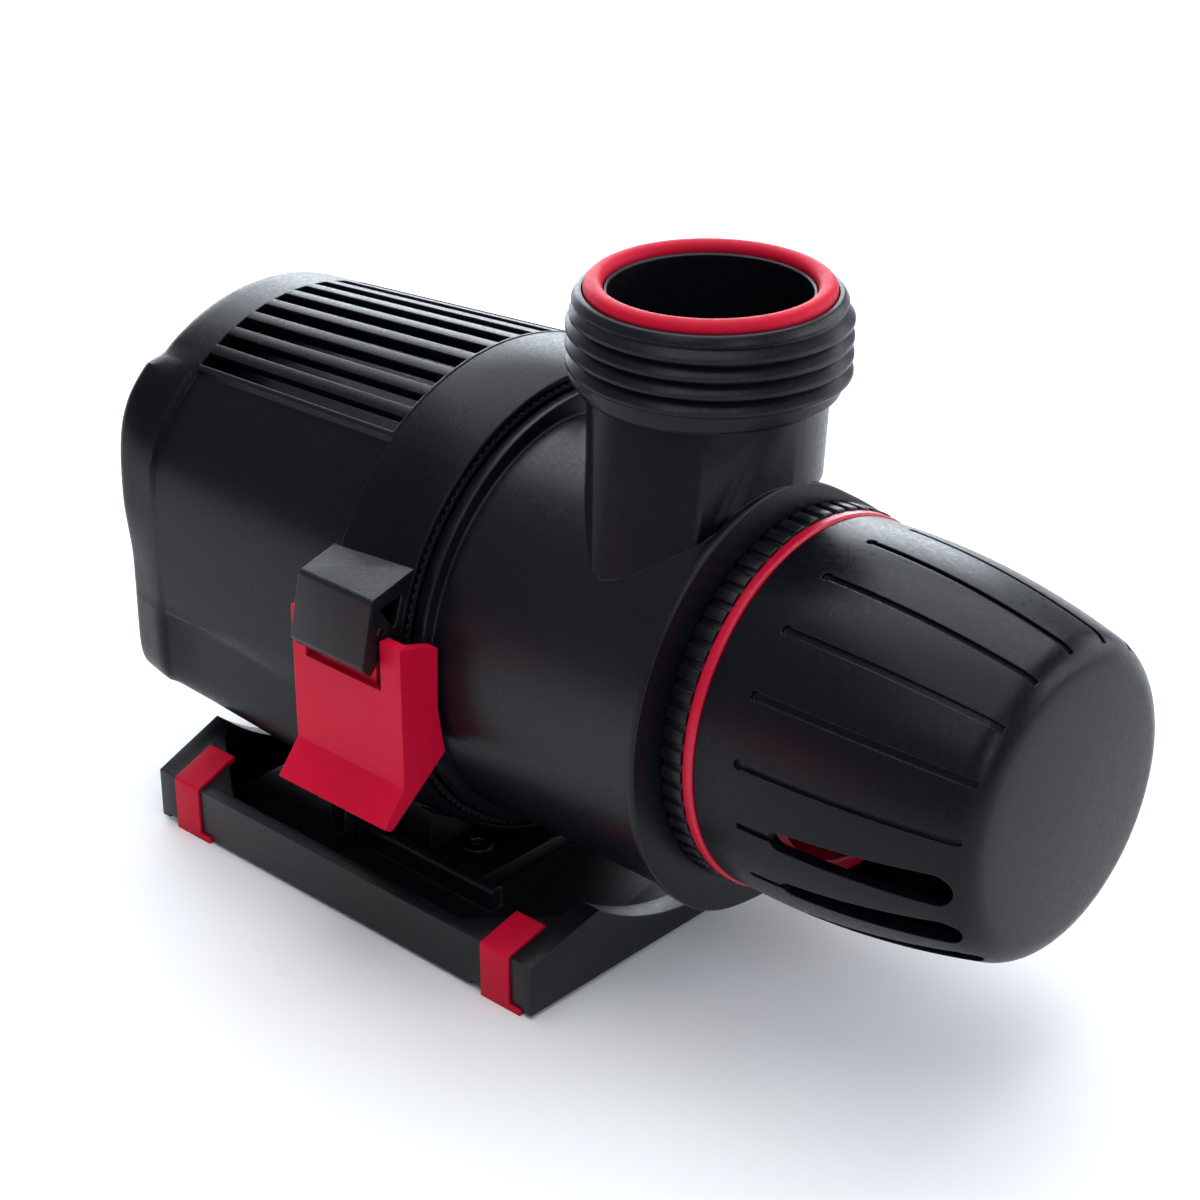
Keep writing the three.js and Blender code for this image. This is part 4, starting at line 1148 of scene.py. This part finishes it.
def latch_bracket():
    outside = [
        (-38, 20.9), (-49.7, 17.8, 1.3), (-52.4, 6, 0.8),
        (-50.6, 3.9, 0.5), (-46, 8.6, 0.6), (-38, 8.6),
    ]
    inside = [(-36, 19.2), (-49.2, 16.3, 0.5), (-51.3, 5.6), (-50.2, 1), (-36, 1)]
    window = [(-47.9, 15.6, 0.4), (-44.6, 10.9, 0.4), (-42.7, 16.8, 0.4)]
    body = prism(rounded(outside), BRACKET_REAR, BRACKET_FRONT)
    clear = 0.1
    rear, front = BRACKET_REAR - 1, COLLAR_FRONT + 1
    collar = turned(
        [
            (rear, 0), (rear, COLLAR_REAR_RADIUS + clear), (COLLAR_REAR, COLLAR_REAR_RADIUS + clear),
            (front, COLLAR_FRONT_RADIUS + clear), (front, 0),
        ],
        sides=FINE_SIDES,
    )
    carve(
        body,
        prism(rounded(inside), BRACKET_REAR + CHEEK, BRACKET_FRONT - CHEEK),
        prism(rounded(window), BRACKET_FRONT - CHEEK - 0.5, BRACKET_FRONT + 1),
        collar,
        shifted(rod(BRACKET_REAR - 1, BRACKET_FRONT + 1, PIN_RADIUS + clear), y=PIN_Y, z=PIN_Z),
    )
    return soften(body, 0.35, 3, 38)


def latch_pin():
    return shifted(rod(BRACKET_REAR - 0.2, BRACKET_FRONT + 0.2, PIN_RADIUS, 0.25), y=PIN_Y, z=PIN_Z)


def latch_lever():
    face, back, crease = LEVER_FACE, LEVER_BACK, LEVER_CREASE
    flare = [(face, crease), (-53.6, -22.5), (-52.0, -23.6), (back, crease - 0.8), (back, -14), (face, -14)]
    flange = [
        (face, 10.4, 0.5), (-39.9, 7.6, 0.8), (-40.3, -4.1, 0.8), (-38.9, -13.1, 0.8),
        (-51.6, -23.4, 0.6), (-53.6, -22.5, 0.5), (face, crease, 2),
    ]
    tongue_rear, tongue_front = BRACKET_REAR + 2, BRACKET_FRONT - 2
    body = prism(rounded(flange), LEVER_FRONT - 2.2, LEVER_FRONT)
    fuse(
        body,
        block((LEVER_REAR, face, -15), (LEVER_FRONT - 0.3, back, 0.8)),
        block((LEVER_REAR, face, 0), (BRACKET_REAR - 0.5, back, 9.7)),
        block((BRACKET_FRONT + 0.5, face + SLIP, 0), (LEVER_FRONT - 0.3, back, 10.2)),
        block((LEVER_REAR, face + SLIP, -15.9), (LEVER_REAR + 1.8, -43.6, 9.6)),
        prism(flare, LEVER_REAR, LEVER_FRONT - 0.2),
        block((tongue_rear, -47.4, -3), (tongue_front, -46.2, PIN_Z)),
        shifted(rod(tongue_rear, tongue_front, 1.9), y=PIN_Y, z=PIN_Z),
    )
    carve(body, shifted(rod(-60, -20, PIN_RADIUS + 0.1), y=PIN_Y, z=PIN_Z))
    return soften(body, 0.35, 3, 32)


def latches():
    for side, mirror in (("left", 1), ("right", -1)):
        flip = Matrix.Scale(mirror, 4, (0, 1, 0))
        for make, name, body, slot, material in (
            (latch_bracket, "latch_bracket", "pump", "charcoal_plastic", CHARCOAL),
            # The pins get the darker stainless copy: painted shade inside the brackets.
            (latch_pin, "latch_pin", "pump", "stainless_steel", SHADED_STEEL),
            (latch_lever, "latch_lever", f"latch_{side}", "red_plastic", RED),
        ):
            node = f"{name}_{side}"
            dress(moved(make(), flip), node + "_detail", body, slot, material, node)


# ---------------------------------------------------------------- inner pieces, kept from the frame


def inner_pieces():
    finishes = {
        CHARCOAL: ["stator_can", "rotor_well", "rotor_cover"],
        BLACK_RUBBER: ["rear_bearing_seat", "front_bearing_seat"],
        CERAMIC: ["rear_bearing", "front_bearing", "thrust_washer", "shaft"],
        CORE: ["stator_core"],
        COPPER: [f"coil_{i + 1}" for i in range(6)],
        FERRITE: ["rotor_magnet"],
        IMPELLER: ["impeller"],
    }
    for material, nodes in finishes.items():
        for node in nodes:
            keep(node, material)


# ---------------------------------------------------------------- stage


def camera():
    data = bpy.data.cameras.new("camera")
    data.lens = LENS
    data.sensor_width = SENSOR
    data.clip_end = 20
    made = bpy.data.objects.new("camera", data)
    scene.collection.objects.link(made)
    made.location = ORIGIN + CAMERA_PLACE
    made.rotation_euler = (math.radians(90 - CAMERA_DROP), 0, math.radians(CAMERA_TURN))
    scene.camera = made


def area_light(name, place, target, size, power, color=(1, 1, 1)):
    data = bpy.data.lights.new(name, "AREA")
    data.shape = "RECTANGLE"
    data.size, data.size_y = size
    data.energy = power
    data.color = color
    made = bpy.data.objects.new(name, data)
    scene.collection.objects.link(made)
    made.location = place
    made.rotation_euler = (Vector(target) - Vector(place)).to_track_quat("-Z", "Y").to_euler()


def stage():
    bm = bmesh.new()
    half = 3
    corners = [(-half, -half, 0), (half, -half, 0), (half, half, 0), (-half, half, 0)]
    bm.faces.new([bm.verts.new(c) for c in corners])
    floor = blank("floor", bm)
    n = Nodes("floor_paint")
    n.put(n.shader, "Base Color", n.mix(n.noise(3, 2), (0.84, 0.84, 0.845, 1), (0.88, 0.88, 0.885, 1)))
    n.put(n.shader, "Roughness", n.spread(n.noise(60, 2), 0.3, 0.7, 0.75, 0.85))
    floor.data.materials.append(n.material)
    world = bpy.data.worlds.new("studio")
    world.use_nodes = True
    world.node_tree.nodes["Background"].inputs["Color"].default_value = (0.86, 0.92, 1, 1)
    world.node_tree.nodes["Background"].inputs["Strength"].default_value = 0.4
    scene.world = world
    scene.view_settings.view_transform = "Standard"
    centre = (0, 0, 0.05)
    area_light("overhead", (-0.25, 0.3, 0.8), centre, (0.9, 0.55), 6, (0.93, 0.97, 1))
    area_light("floor_wash", (0.1, -0.2, 1.5), (0, -0.1, 0), (1.2, 1.2), 9.5)
    area_light("backdrop", (-1.0, 0.85, 0.42), centre, (1.3, 0.75), 19, (0.86, 0.93, 1))
    area_light("far_side", (0.5, 1.0, 0.35), centre, (1.0, 0.5), 4, (0.88, 0.94, 1))
    area_light("key", (0.8, 0.5, 0.4), centre, (0.3, 0.5), 2, (0.93, 0.97, 1))
    area_light("front", (0.85, -0.35, 0.55), centre, (0.22, 0.4), 1.3, (0.82, 0.9, 1))
    area_light("fill", (0.1, -0.75, 0.95), centre, (0.4, 0.3), 0.9, (0.82, 0.9, 1))
    area_light("red_glow", (-0.25, -0.7, 0.05), centre, (0.25, 0.2), 0.28, (1, 0.08, 0.12))


camera()
stage()
base_tray()
cradle()
feet()
screws()
motor_housing()
rear_end()
volute_housing()
outlet_o_ring()
head_seal()
grip_ring()
intake_nozzle()
bearing_spider()
strainer_cage()
latches()
inner_pieces()
